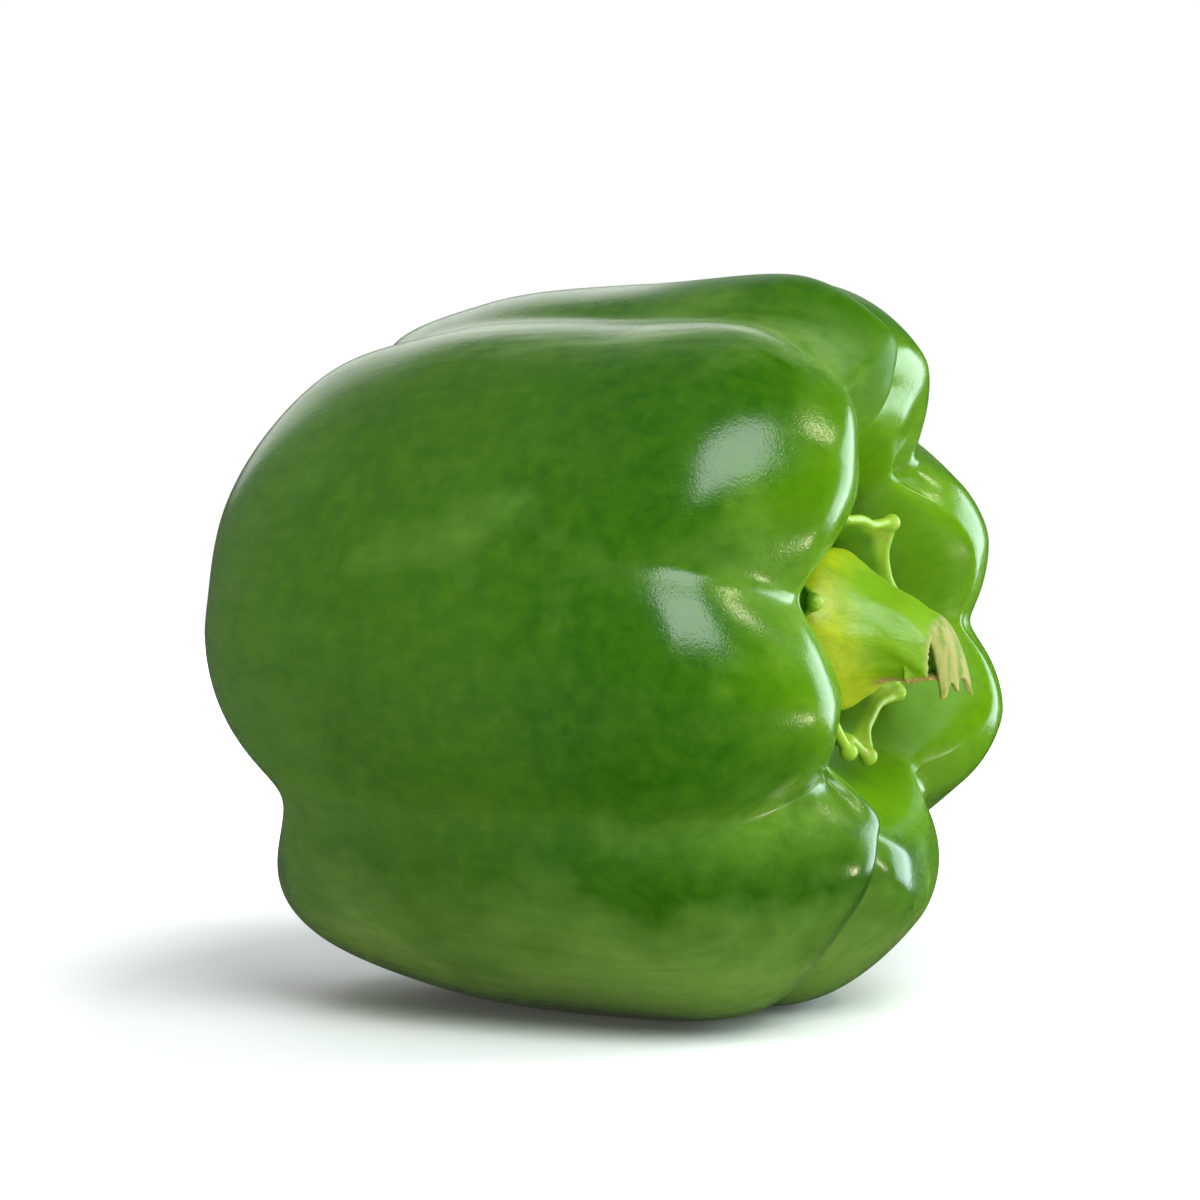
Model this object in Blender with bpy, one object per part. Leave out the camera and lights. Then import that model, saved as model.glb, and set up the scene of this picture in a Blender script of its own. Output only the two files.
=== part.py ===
"""Green bell pepper lying on its side: the fruit, the calyx in its stem cavity and the torn stem.

The long axis of the fruit lies along X with the stem end toward +X. Angles round that axis are in degrees
from the front (-Y) over the top (+Z), so 90 is straight up and 270 straight down. Lengths are in metres.
"""
import math
from collections import namedtuple
from functools import lru_cache

import bmesh
import bpy
from mathutils import Vector

NAME = "green_bell_pepper"
MERGE = 0.000001

# Fruit: the plain turned outline as (place on the axis, radius), from the dimple at the blossom end
# over the shoulder to the floor of the stem cavity. A place along it is a count of these points.
OUTLINE = (
    (-0.0275, 0.0),
    (-0.0313, 0.0085),
    (-0.0350, 0.0245),
    (-0.0315, 0.0335),
    (-0.0160, 0.0400),
    (0.0040, 0.0430),
    (0.0240, 0.0430),
    (0.0370, 0.0335),
    (0.0395, 0.0260),
    (0.0370, 0.0215),
    (0.0275, 0.0150),
    (0.0205, 0.0),
)
FRUIT_COLUMNS = 96
FRUIT_RINGS = 44
REST_DEPTH = 0.0006

# The axis is bowed: sideways and upward shift of the outline at each end
BLOSSOM_SHIFT = (0.0, -0.0045)
STEM_SHIFT = (0.0008, 0.0024)

# Lobes run the whole length. reach is how far each one's end stands out at the blossom end.
Lobe = namedtuple("Lobe", "angle blossom_swell waist_swell middle_swell reach")
LOBES = (
    Lobe(28, -0.0005, -0.0008, -0.0010, 0.0025),
    Lobe(100, 0.0056, 0.0019, -0.0002, -0.0028),
    Lobe(176, -0.0010, -0.0010, -0.0010, -0.0010),
    Lobe(285, 0.0020, 0.0007, 0.0001, -0.0010),
)
LOBE_BLEND = 7.0
BLOSSOM_PLACE = 2.2
BLOSSOM_SPREAD = 1.7
# Each lobe's end is domed between the deep grooves
DOME_HEIGHT = 0.0030
DOME_PLACE = 1.7
DOME_SPREAD = 1.0
DOME_TURN = 24.0

# Knuckles are the shoulder bumps round the stem, two to a lobe. rise is along the axis.
Knuckle = namedtuple("Knuckle", "angle swell rise")
KNUCKLES = (
    Knuckle(40, 0.0002, -0.0015),
    Knuckle(78, 0.0078, 0.0004),
    Knuckle(110, 0.0026, -0.0048),
    Knuckle(153, -0.0016, 0.0005),
    Knuckle(202, 0.0, 0.0026),
    Knuckle(258, -0.0006, -0.0004),
    Knuckle(304, 0.0008, 0.0034),
    Knuckle(351, -0.0016, -0.0012),
)
KNUCKLE_BLEND = 10.0
SHOULDER_PLACE = 8.3
SHOULDER_SPREAD = 1.5

# Grooves part the lobes (deep) and the knuckles of one lobe (shallow). The angles are those at the
# blossom end, the middle and the shoulder; the depths those three and the one inside the cavity.
Groove = namedtuple("Groove", "angles depths")
DEEP_GROOVES = (
    Groove((88, 75, 70), (0.0040, 0.0028, 0.0080, 0.0012)),
    Groove((122, 140, 130), (0.0050, 0.0022, 0.0080, 0.0012)),
    Groove((236, 225, 229), (0.0046, 0.0024, 0.0082, 0.0012)),
    Groove((330, 338, 325), (0.0048, 0.0028, 0.0084, 0.0012)),
)
SHALLOW_GROOVES = (
    Groove((18, 19, 17), (0.0006, 0.0008, 0.0088, 0.0010)),
    Groove((94, 96, 95), (0.0006, 0.0006, 0.0048, 0.0010)),
    Groove((176, 176, 180), (0.0005, 0.0005, 0.0054, 0.0010)),
    Groove((275, 268, 298), (0.0005, 0.0010, 0.0068, 0.0010)),
)
GROOVES = DEEP_GROOVES + SHALLOW_GROOVES
# Way in which grooves sink at each outline point, in degrees: 0 is straight toward the axis, 90 is along
# it away from the stem end. It turns more slowly than the skin does, so no groove folds the shoulder.
GROOVE_LEANS = (-90, -90, -75, -42, -12, 0, 8, 38, 68, 92, 115, 90)
GROOVE_STOPS = (0, 2, 5, 8, 10, 11)
ANGLE_STOPS = (2, 5, 8)
GROOVE_WIDTHS = (0.0070, 0.0080, 0.0055)
GROOVE_FLOORS = (0.0034, 0.0018, 0.0016)
GROOVE_JOIN = 4
SWELL_STOPS = (0, 2.5, 3.9, 5.2, 7.5, 10, 11)
CAVITY_SWELL = 0.35
LEAST_RADIUS = 0.006

# Calyx: a cup standing on the cavity floor, as (height above the cavity floor, radius)
CALYX_OUTSIDE = (
    (0.0003, 0.0),
    (0.0009, 0.0040),
    (0.0026, 0.0078),
    (0.0050, 0.0106),
    (0.0076, 0.0121),
    (0.0098, 0.0129),
)
CALYX_INSIDE = (
    (0.0104, 0.0124),
    (0.0101, 0.0116),
    (0.0078, 0.0109),
    (0.0056, 0.0104),
    (0.0050, 0.0098),
    (0.0050, 0.0),
)
CALYX_COLUMNS = 96
# Teeth of the rim, each ending in a small knob
Tooth = namedtuple("Tooth", "angle reach rise")
TEETH = (
    Tooth(19, 0.0006, 0.0026),
    Tooth(74, 0.0014, 0.0012),
    Tooth(129, 0.0022, 0.0012),
    Tooth(172, 0.0012, 0.0007),
    Tooth(216, 0.0022, 0.0012),
    Tooth(266, 0.0024, 0.0013),
    Tooth(293, 0.0022, 0.0012),
    Tooth(338, 0.0014, 0.0008),
)
# The rim is low along the front, where the shoulders lean over it
DIP_ANGLE = 30.0
DIP_TURN = 52.0
DIP_DROP = 0.0036
DIP_TUCK = 0.0008
CUP_FLOOR = 0.0050
TOOTH_WIDTH = 7.0
TOOTH_START = 0.0100
KNOB_RADIUS = 0.0010

# Stem: (height above the cavity floor, upward shift from the cavity's axis, radius), foot to torn end
STEM_COURSE = (
    (0.0053, -0.0001, 0.0096),
    (0.0075, -0.0001, 0.0094),
    (0.0095, -0.0005, 0.0085),
    (0.0115, -0.0006, 0.0071),
    (0.0140, -0.0008, 0.0058),
    (0.0166, -0.0014, 0.0052),
    (0.0188, -0.0025, 0.0048),
    (0.0203, -0.0036, 0.0045),
)
STEM_COLUMNS = 32
STEM_RINGS = 22
STEM_RIBS = 5
RIB_DEPTH = 0.035
# The underside is torn away above this line, as (height above the floor, upward shift)
TEAR_LINE = ((0.0110, -0.0092), (0.0130, -0.0064), (0.0175, -0.0055), (0.0220, -0.0050))
TEAR_TEETH = 0.0005
TEAR_WAVES = (0.0026, 0.0044)
TEAR_TURNS = 3
END_HOLLOW = 0.0012
# Dry flap of skin that hangs from the top of the torn end, as (height above the floor, upward shift)
FLAP_COURSE = ((0.0182, 0.0019), (0.0203, 0.0006), (0.0221, -0.0026), (0.0234, -0.0068))
FLAP_WIDTHS = (0.0048, 0.0056, 0.0050, 0.0042)
FLAP_TWIST = 0.0018
FLAP_SIDE = 0.0008
FLAP_THICKNESS = 0.0009
FLAP_NOTCH = 0.11
FLAP_TURN = 1.5
FLAP_HEIGHT_SLOPES = (0.0022, 0.0013)
FLAP_SHIFT_SLOPES = (-0.0012, -0.0036)
FLAP_GRID = (10, 8)

SKIN_GREEN = (0.060, 0.170, 0.012, 1.0)
CALYX_GREEN = (0.130, 0.290, 0.020, 1.0)
STEM_GREEN = (0.250, 0.430, 0.035, 1.0)
SKIN_ROUGHNESS = 0.25
CALYX_ROUGHNESS = 0.45
STEM_ROUGHNESS = 0.5


def smooth_value(stops, values, at, slopes=(0.0, 0.0)):
    """Value at one place of a smooth curve through the values at the stops, with its two end slopes."""
    last = len(stops) - 1
    at = min(max(at, stops[0]), stops[last])
    k = 0
    while k < last - 1 and at >= stops[k + 1]:
        k += 1

    def slope(i):
        if i == 0:
            return slopes[0]
        if i == last:
            return slopes[1]
        before = stops[i] - stops[i - 1]
        after = stops[i + 1] - stops[i]
        rise_before = (values[i] - values[i - 1]) / before
        rise_after = (values[i + 1] - values[i]) / after
        return (rise_before * after + rise_after * before) / (before + after)

    step = stops[k + 1] - stops[k]
    t = (at - stops[k]) / step
    rest = 1.0 - t
    start = values[k] * rest * rest * (1.0 + 2.0 * t) + slope(k) * step * t * rest * rest
    end = values[k + 1] * t * t * (3.0 - 2.0 * t) - slope(k + 1) * step * t * t * rest
    return start + end


def turn(a, b):
    """Angle between two directions round the axis, 0 to 180 degrees."""
    return abs((a - b + 180.0) % 360.0 - 180.0)


def blend_round(angle, centres, values, sharpness):
    """Mean of the values round the axis, each one weighed by how near its centre is."""
    total = 0.0
    weights = 0.0
    for centre, value in zip(centres, values):
        weight = math.exp(sharpness * (math.cos(math.radians(angle - centre)) - 1.0))
        total += weight * value
        weights += weight
    return total / weights


def outline_point(place):
    """Turned outline at a place counted in outline points. It crosses the axis squarely at both ends."""
    stops = range(len(OUTLINE))
    along = smooth_value(stops, [p[0] for p in OUTLINE], place)
    end_slopes = (OUTLINE[1][1], -OUTLINE[-2][1])
    radius = smooth_value(stops, [p[1] for p in OUTLINE], place, end_slopes)
    return along, radius


@lru_cache(maxsize=None)
def ring_state(place):
    """All that a ring of the fruit has in common: outline, its outward direction, and its grooves."""
    along, radius = outline_point(place)
    lean = math.radians(smooth_value(range(len(OUTLINE)), GROOVE_LEANS, place))
    outward = Vector((math.sin(lean), math.cos(lean)))
    width = smooth_value(ANGLE_STOPS, GROOVE_WIDTHS, place)
    floor = smooth_value(ANGLE_STOPS, GROOVE_FLOORS, place)
    grooves = []
    for groove in GROOVES:
        angle = smooth_value(ANGLE_STOPS, groove.angles, place)
        depth = smooth_value(GROOVE_STOPS, (0.0, *groove.depths, 0.0), place)
        grooves.append((angle, max(depth, 0.0)))
    return along, radius, outward, width, floor, grooves


@lru_cache(maxsize=None)
def swells_round(angle):
    """How far lobes and knuckles stand out at an angle, and how far they reach along the axis."""
    lobe_angles = [lobe.angle for lobe in LOBES]
    knuckle_angles = [knuckle.angle for knuckle in KNUCKLES]
    blossom = blend_round(angle, lobe_angles, [lobe.blossom_swell for lobe in LOBES], LOBE_BLEND)
    waist = blend_round(angle, lobe_angles, [lobe.waist_swell for lobe in LOBES], LOBE_BLEND)
    middle = blend_round(angle, lobe_angles, [lobe.middle_swell for lobe in LOBES], LOBE_BLEND)
    reach = blend_round(angle, lobe_angles, [lobe.reach for lobe in LOBES], LOBE_BLEND)
    shoulder = blend_round(angle, knuckle_angles, [k.swell for k in KNUCKLES], KNUCKLE_BLEND)
    rise = blend_round(angle, knuckle_angles, [k.rise for k in KNUCKLES], KNUCKLE_BLEND)
    return blossom, waist, middle, shoulder, reach, rise


@lru_cache(maxsize=None)
def dome_round(angle):
    """Share of the full dome at an angle: none in a deep groove, all of it in the middle of a lobe."""
    nearest = min(turn(angle, groove.angles[0]) for groove in DEEP_GROOVES)
    return 1.0 - math.exp(-((nearest / DOME_TURN) ** 2))


def groove_depth(angle, radius, width, floor, grooves):
    """Depth of all the grooves at one point; where two run together the deeper one wins smoothly."""
    total = 0.0
    for centre, depth in grooves:
        side = math.radians(turn(angle, centre)) * max(radius, LEAST_RADIUS)
        fall = (math.hypot(side, floor) - floor) / width
        total += (depth * math.exp(-fall)) ** GROOVE_JOIN
    return total ** (1.0 / GROOVE_JOIN)


def axis_shift(place):
    """Sideways and upward shift of the bowed axis at a place along the outline."""
    share = place / (len(OUTLINE) - 1)
    to_blossom = (1.0 - share) ** 2
    to_stem = share ** 2
    return [b * to_blossom + s * to_stem for b, s in zip(BLOSSOM_SHIFT, STEM_SHIFT)]


def fruit_point(place, angle):
    """Point of the fruit's skin: outline, plus lobes and knuckles, less the grooves."""
    along, radius, outward, width, floor, grooves = ring_state(place)
    blossom, waist, middle, shoulder, reach, rise = swells_round(angle)
    swells = (0.0, blossom, waist, middle, shoulder, shoulder * CAVITY_SWELL, 0.0)
    radius += smooth_value(SWELL_STOPS, swells, place)
    along -= reach * math.exp(-(((place - BLOSSOM_PLACE) / BLOSSOM_SPREAD) ** 2))
    along -= DOME_HEIGHT * dome_round(angle) * math.exp(-(((place - DOME_PLACE) / DOME_SPREAD) ** 2))
    along += rise * math.exp(-(((place - SHOULDER_PLACE) / SHOULDER_SPREAD) ** 2))
    depth = groove_depth(angle, radius, width, floor, grooves)
    along -= outward.x * depth
    radius = max(radius - outward.y * depth, 0.0)
    side, up = axis_shift(place)
    turned = math.radians(angle)
    return Vector((along, side - radius * math.cos(turned), up + radius * math.sin(turned)))


def cavity_point(height, angle, radius):
    """Point over the floor of the stem cavity, by height along the axis, angle and radius."""
    turned = math.radians(angle)
    floor = OUTLINE[-1][0]
    return Vector(
        (
            floor + height,
            STEM_SHIFT[0] - radius * math.cos(turned),
            STEM_SHIFT[1] + radius * math.sin(turned),
        )
    )


def make_material(name, colour, roughness):
    material = bpy.data.materials.new(name)
    material.use_nodes = True
    shader = material.node_tree.nodes["Principled BSDF"]
    shader.inputs["Base Color"].default_value = colour
    shader.inputs["Roughness"].default_value = roughness
    shader.inputs["Metallic"].default_value = 0.0
    return material


def make_object(name, mesh_source, collection, parent, material):
    """Turn a bmesh into a named, smooth-shaded object of the pepper."""
    bmesh.ops.recalc_face_normals(mesh_source, faces=mesh_source.faces)
    mesh = bpy.data.meshes.new(name)
    mesh_source.to_mesh(mesh)
    mesh_source.free()
    mesh.materials.append(material)
    mesh.shade_smooth()
    piece = bpy.data.objects.new(name, mesh)
    piece.parent = parent
    collection.objects.link(piece)
    return piece


def build_fruit():
    """A sphere whose rings and columns are carried onto the skin, with a flat spot to rest on."""
    fruit = bmesh.new()
    bmesh.ops.create_uvsphere(fruit, u_segments=FRUIT_COLUMNS, v_segments=FRUIT_RINGS, radius=1.0)
    last = len(OUTLINE) - 1
    for vert in fruit.verts:
        from_blossom = math.acos(max(-1.0, min(1.0, -vert.co.z))) / math.pi
        ring = round(from_blossom * FRUIT_RINGS)
        angle = round(math.degrees(math.atan2(vert.co.y, vert.co.x)), 4) % 360.0
        vert.co = fruit_point(last * ring / FRUIT_RINGS, angle)
    lowest = min(vert.co.z for vert in fruit.verts)
    rest = Vector((0.0, 0.0, lowest + REST_DEPTH))
    everything = fruit.verts[:] + fruit.edges[:] + fruit.faces[:]
    cut = bmesh.ops.bisect_plane(
        fruit, geom=everything, dist=MERGE, plane_co=rest, plane_no=(0.0, 0.0, -1.0), clear_outer=True
    )
    rim = [item for item in cut["geom_cut"] if isinstance(item, bmesh.types.BMEdge)]
    bmesh.ops.holes_fill(fruit, edges=rim, sides=0)
    return fruit


def rim_form(angle):
    """How far the calyx's rim is drawn out, raised by a tooth, and dipped, at an angle."""
    reach = 0.0
    rise = 0.0
    for tooth in TEETH:
        share = math.exp(-((turn(angle, tooth.angle) / TOOTH_WIDTH) ** 2))
        reach = max(reach, tooth.reach * share)
        rise = max(rise, tooth.rise * share)
    dip = math.exp(-((turn(angle, DIP_ANGLE) / DIP_TURN) ** 4))
    return reach, rise, dip


def rim_point(height, angle, radius, share):
    """Point of the calyx after its rim is drawn into teeth and dipped; share is 1 on the rim."""
    reach, rise, dip = rim_form(angle)
    above = max(height - CUP_FLOOR, 0.0) / (CALYX_INSIDE[0][0] - CUP_FLOOR)
    height += rise * share - DIP_DROP * dip * above
    radius += (reach - DIP_TUCK * dip) * share
    return cavity_point(height, angle, radius)


def build_calyx():
    """A cup spun round the cavity's axis, its rim drawn out into teeth that end in small knobs."""
    calyx = bmesh.new()
    outline = CALYX_OUTSIDE + CALYX_INSIDE
    verts = [calyx.verts.new((radius, 0.0, height)) for height, radius in outline]
    edges = [calyx.edges.new(pair) for pair in zip(verts, verts[1:])]
    bmesh.ops.spin(
        calyx,
        geom=verts + edges,
        axis=(0.0, 0.0, 1.0),
        cent=(0.0, 0.0, 0.0),
        angle=math.tau,
        steps=CALYX_COLUMNS,
        use_merge=True,
    )
    bmesh.ops.remove_doubles(calyx, verts=calyx.verts, dist=MERGE)
    rim_height, rim_radius = CALYX_OUTSIDE[-1]
    for vert in calyx.verts:
        radius = math.hypot(vert.co.x, vert.co.y)
        angle = math.degrees(math.atan2(vert.co.y, vert.co.x))
        share = min(max((radius - TOOTH_START) / (rim_radius - TOOTH_START), 0.0), 1.0)
        share *= vert.co.z / rim_height
        vert.co = rim_point(vert.co.z, angle, radius, share)
    return calyx


def build_knobs(collection):
    """The small knobs on the tooth tips, one object each, to be joined to the calyx."""
    rim_height, rim_radius = CALYX_INSIDE[0]
    for number, tooth in enumerate(TEETH):
        knob = bmesh.new()
        bmesh.ops.create_icosphere(knob, subdivisions=2, radius=KNOB_RADIUS)
        centre = rim_point(rim_height, tooth.angle, rim_radius, 1.0)
        bmesh.ops.translate(knob, verts=knob.verts, vec=centre)
        mesh = bpy.data.meshes.new(f"knob_{number}")
        knob.to_mesh(mesh)
        knob.free()
        collection.objects.link(bpy.data.objects.new(f"knob_{number}", mesh))


def stem_state(share):
    """Height over the cavity floor, upward shift and radius of the stem, foot 0 to torn end 1."""
    stops = range(len(STEM_COURSE))
    place = share * (len(STEM_COURSE) - 1)
    ends = []
    for column in zip(*STEM_COURSE):
        slopes = (column[1] - column[0], column[-1] - column[-2])
        ends.append(smooth_value(stops, column, place, slopes))
    return ends


def tear_height(height, angle):
    """Upward shift of the torn underside at a height over the floor, with its small ragged teeth."""
    stops = [stop for stop, _ in TEAR_LINE]
    line = smooth_value(stops, [shift for _, shift in TEAR_LINE], height)
    short, long = [height * math.tau / wave for wave in TEAR_WAVES]
    ragged = math.sin(short) * math.sin(math.radians(TEAR_TURNS * angle) + long)
    return line + TEAR_TEETH * ragged


def build_stem():
    """A ribbed tube lofted along the stem's course, torn flat below and hollowed at its end."""
    stem = bmesh.new()
    bmesh.ops.create_cone(
        stem, cap_ends=False, segments=STEM_COLUMNS, radius1=1.0, radius2=1.0, depth=1.0
    )
    long_edges = [edge for edge in stem.edges if abs(edge.verts[0].co.z - edge.verts[1].co.z) > 0.5]
    bmesh.ops.subdivide_edges(stem, edges=long_edges, cuts=STEM_RINGS - 1, use_grid_fill=True)
    for vert in stem.verts:
        share = round((vert.co.z + 0.5) * STEM_RINGS) / STEM_RINGS
        angle = math.degrees(math.atan2(vert.co.y, vert.co.x))
        height, shift, radius = stem_state(share)
        tilt = math.radians(angle)
        radius *= 1.0 + RIB_DEPTH * share * math.cos(STEM_RIBS * tilt)
        up = shift + radius * math.sin(tilt)
        up = max(up, tear_height(height, angle)) if height > TEAR_LINE[0][0] else up
        vert.co = cavity_point(height, 0.0, 0.0) + Vector((0.0, -radius * math.cos(tilt), up))
    rims = [edge for edge in stem.edges if edge.is_boundary]
    caps = bmesh.ops.holes_fill(stem, edges=rims, sides=0)["faces"]
    end = max(caps, key=lambda face: face.calc_center_median().x)
    bmesh.ops.inset_individual(stem, faces=[end], thickness=END_HOLLOW)
    bmesh.ops.translate(stem, verts=end.verts, vec=(-END_HOLLOW, 0.0, 0.0))
    return stem


def build_flap():
    """The dry flap: a strip bent down over the torn end, notched at its tip and given a thickness."""
    flap = bmesh.new()
    bmesh.ops.create_grid(flap, x_segments=FLAP_GRID[0], y_segments=FLAP_GRID[1], size=0.5)
    stops = range(len(FLAP_COURSE))
    last = len(FLAP_COURSE) - 1
    heights = [point[0] for point in FLAP_COURSE]
    shifts = [point[1] for point in FLAP_COURSE]
    for vert in flap.verts:
        share = vert.co.x + 0.5
        side = vert.co.y
        share -= FLAP_NOTCH * share * math.cos(side * math.tau * FLAP_TURN) ** 2
        width = smooth_value(stops, FLAP_WIDTHS, share * last)
        height = smooth_value(stops, heights, share * last, FLAP_HEIGHT_SLOPES)
        shift = smooth_value(stops, shifts, share * last, FLAP_SHIFT_SLOPES)
        bow = FLAP_SIDE * (2.0 * side) ** 2
        height -= bow + FLAP_TWIST * share * (side + 0.5)
        vert.co = cavity_point(height, 0.0, 0.0) + Vector((0.0, FLAP_SIDE - side * width, shift - bow))
    bmesh.ops.recalc_face_normals(flap, faces=flap.faces)
    bmesh.ops.solidify(flap, geom=flap.faces[:], thickness=FLAP_THICKNESS)
    return flap


def join_into(piece, others):
    """Union a collection of closed shapes with a piece, apply it, and remove the shapes."""
    union = piece.modifiers.new("join", "BOOLEAN")
    union.operation = "UNION"
    union.solver = "EXACT"
    union.operand_type = "COLLECTION"
    union.collection = others
    bpy.context.view_layer.update()
    joined = bpy.data.meshes.new_from_object(piece.evaluated_get(bpy.context.evaluated_depsgraph_get()))
    piece.modifiers.clear()
    piece.data = joined
    for extra in list(others.objects):
        bpy.data.objects.remove(extra)
    bpy.data.collections.remove(others)


def new_collection(name):
    collection = bpy.data.collections.new(name)
    bpy.context.scene.collection.children.link(collection)
    return collection


def clear_scene():
    for thing in list(bpy.data.objects):
        bpy.data.objects.remove(thing)


def stand_on_origin(root, pieces):
    """Move the whole pepper so that the middle of its box's underside is at the origin."""
    corners = [vert.co for piece in pieces for vert in piece.data.vertices]
    low = Vector([min(corner[axis] for corner in corners) for axis in range(3)])
    high = Vector([max(corner[axis] for corner in corners) for axis in range(3)])
    middle = (low + high) / 2.0
    root.location = (-middle.x, -middle.y, -low.z)


def main():
    clear_scene()
    collection = new_collection(NAME)
    root = bpy.data.objects.new("pepper_axis", None)
    collection.objects.link(root)

    skin = make_material("waxy_green_skin", SKIN_GREEN, SKIN_ROUGHNESS)
    fruit = make_object("fruit", build_fruit(), collection, root, skin)

    calyx_material = make_material("calyx_green", CALYX_GREEN, CALYX_ROUGHNESS)
    calyx = make_object("calyx", build_calyx(), collection, root, calyx_material)
    knobs = new_collection("calyx_knobs")
    build_knobs(knobs)
    join_into(calyx, knobs)

    stem_material = make_material("stem_green", STEM_GREEN, STEM_ROUGHNESS)
    stem = make_object("stem", build_stem(), collection, root, stem_material)
    torn = new_collection("torn_flap")
    flap = build_flap()
    flap_mesh = bpy.data.meshes.new("flap")
    flap.to_mesh(flap_mesh)
    flap.free()
    torn.objects.link(bpy.data.objects.new("flap", flap_mesh))
    join_into(stem, torn)

    stand_on_origin(root, (fruit, calyx, stem))


main()
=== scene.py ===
"""Green bell pepper: fine skin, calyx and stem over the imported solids, with a plain studio round them.

The long axis of the fruit lies along X with the stem end toward +X. Angles round that axis are in degrees
from the front (-Y) over the top (+Z). Lengths are in metres.
"""
import math
from collections import namedtuple
from functools import lru_cache

import bmesh
import bpy
from bpy.props import FloatProperty, FloatVectorProperty, IntProperty, PointerProperty
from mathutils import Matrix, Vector, noise


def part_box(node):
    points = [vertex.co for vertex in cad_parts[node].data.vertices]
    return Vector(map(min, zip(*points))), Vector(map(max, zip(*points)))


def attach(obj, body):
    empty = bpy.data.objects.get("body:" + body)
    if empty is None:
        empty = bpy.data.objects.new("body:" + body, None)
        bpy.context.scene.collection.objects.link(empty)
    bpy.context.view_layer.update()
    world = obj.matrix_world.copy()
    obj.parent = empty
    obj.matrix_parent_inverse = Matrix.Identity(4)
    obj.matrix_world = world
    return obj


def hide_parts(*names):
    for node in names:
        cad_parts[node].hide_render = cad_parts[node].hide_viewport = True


bl_info = {
    "name": "Green Bell Pepper",
    "version": (1, 0, 0),
    "blender": (4, 5, 0),
    "location": "View3D > Sidebar > Pepper",
    "description": "Builds a green bell pepper with its calyx, torn stem and a small studio",
    "category": "Add Mesh",
}

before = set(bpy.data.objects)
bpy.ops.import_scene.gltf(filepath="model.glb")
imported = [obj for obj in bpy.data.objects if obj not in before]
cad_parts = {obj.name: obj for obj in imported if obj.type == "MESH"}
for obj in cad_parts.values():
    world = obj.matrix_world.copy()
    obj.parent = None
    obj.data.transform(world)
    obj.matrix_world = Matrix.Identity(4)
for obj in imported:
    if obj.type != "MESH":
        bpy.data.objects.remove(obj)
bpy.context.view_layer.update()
FRUIT_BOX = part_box("fruit")
MERGE = 0.000001

# Fruit: the plain turned outline as (place on the axis, radius), from the dimple at the blossom end
# over the shoulder to the floor of the stem cavity. A place along it is a count of these points.
OUTLINE = (
    (-0.0275, 0.0),
    (-0.0313, 0.0085),
    (-0.0350, 0.0245),
    (-0.0315, 0.0335),
    (-0.0160, 0.0400),
    (0.0040, 0.0430),
    (0.0240, 0.0430),
    (0.0370, 0.0335),
    (0.0395, 0.0260),
    (0.0370, 0.0215),
    (0.0275, 0.0150),
    (0.0205, 0.0),
)
CAVITY_FLOOR = OUTLINE[-1][0]
LAST_PLACE = len(OUTLINE) - 1
SOLID_COLUMNS = 96
SOLID_RINGS = 44

# The axis is bowed: sideways and upward shift of the outline at each end
BLOSSOM_SHIFT = (0.0, -0.0045)
STEM_SHIFT = (0.0008, 0.0024)

# Lobes run the whole length. reach is how far each one's end stands out at the blossom end.
Lobe = namedtuple("Lobe", "angle blossom_swell waist_swell middle_swell reach")
LOBES = (
    Lobe(28, -0.0005, -0.0008, -0.0010, 0.0025),
    Lobe(100, 0.0056, 0.0019, -0.0002, -0.0028),
    Lobe(176, -0.0010, -0.0010, -0.0010, -0.0010),
    Lobe(285, 0.0020, 0.0007, 0.0001, -0.0010),
)
LOBE_BLEND = 7.0
BLOSSOM_PLACE = 2.2
BLOSSOM_SPREAD = 1.7
# Each lobe's end is domed between the deep grooves
DOME_HEIGHT = 0.0030
DOME_PLACE = 1.7
DOME_SPREAD = 1.0
DOME_TURN = 24.0

# Knuckles are the shoulder bumps round the stem, two to a lobe. rise is along the axis.
Knuckle = namedtuple("Knuckle", "angle swell rise")
KNUCKLES = (
    Knuckle(40, 0.0002, -0.0015),
    Knuckle(78, 0.0078, 0.0004),
    Knuckle(110, 0.0026, -0.0048),
    Knuckle(153, -0.0016, 0.0005),
    Knuckle(202, 0.0, 0.0026),
    Knuckle(258, -0.0006, -0.0004),
    Knuckle(304, 0.0008, 0.0034),
    Knuckle(351, -0.0016, -0.0012),
)
KNUCKLE_BLEND = 10.0
SHOULDER_PLACE = 8.3
SHOULDER_SPREAD = 1.5

# Grooves part the lobes (deep) and the knuckles of one lobe (shallow). The angles are those at the
# blossom end, the middle and the shoulder; the depths those three and the one inside the cavity.
Groove = namedtuple("Groove", "angles depths")
DEEP_GROOVES = (
    Groove((88, 75, 70), (0.0040, 0.0028, 0.0080, 0.0012)),
    Groove((122, 140, 130), (0.0050, 0.0022, 0.0080, 0.0012)),
    Groove((236, 225, 229), (0.0046, 0.0024, 0.0082, 0.0012)),
    Groove((330, 338, 325), (0.0048, 0.0028, 0.0084, 0.0012)),
)
SHALLOW_GROOVES = (
    Groove((18, 19, 17), (0.0006, 0.0008, 0.0088, 0.0010)),
    Groove((94, 96, 95), (0.0006, 0.0006, 0.0048, 0.0010)),
    Groove((176, 176, 180), (0.0005, 0.0005, 0.0054, 0.0010)),
    Groove((275, 268, 298), (0.0005, 0.0010, 0.0068, 0.0010)),
)
GROOVES = DEEP_GROOVES + SHALLOW_GROOVES
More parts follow.
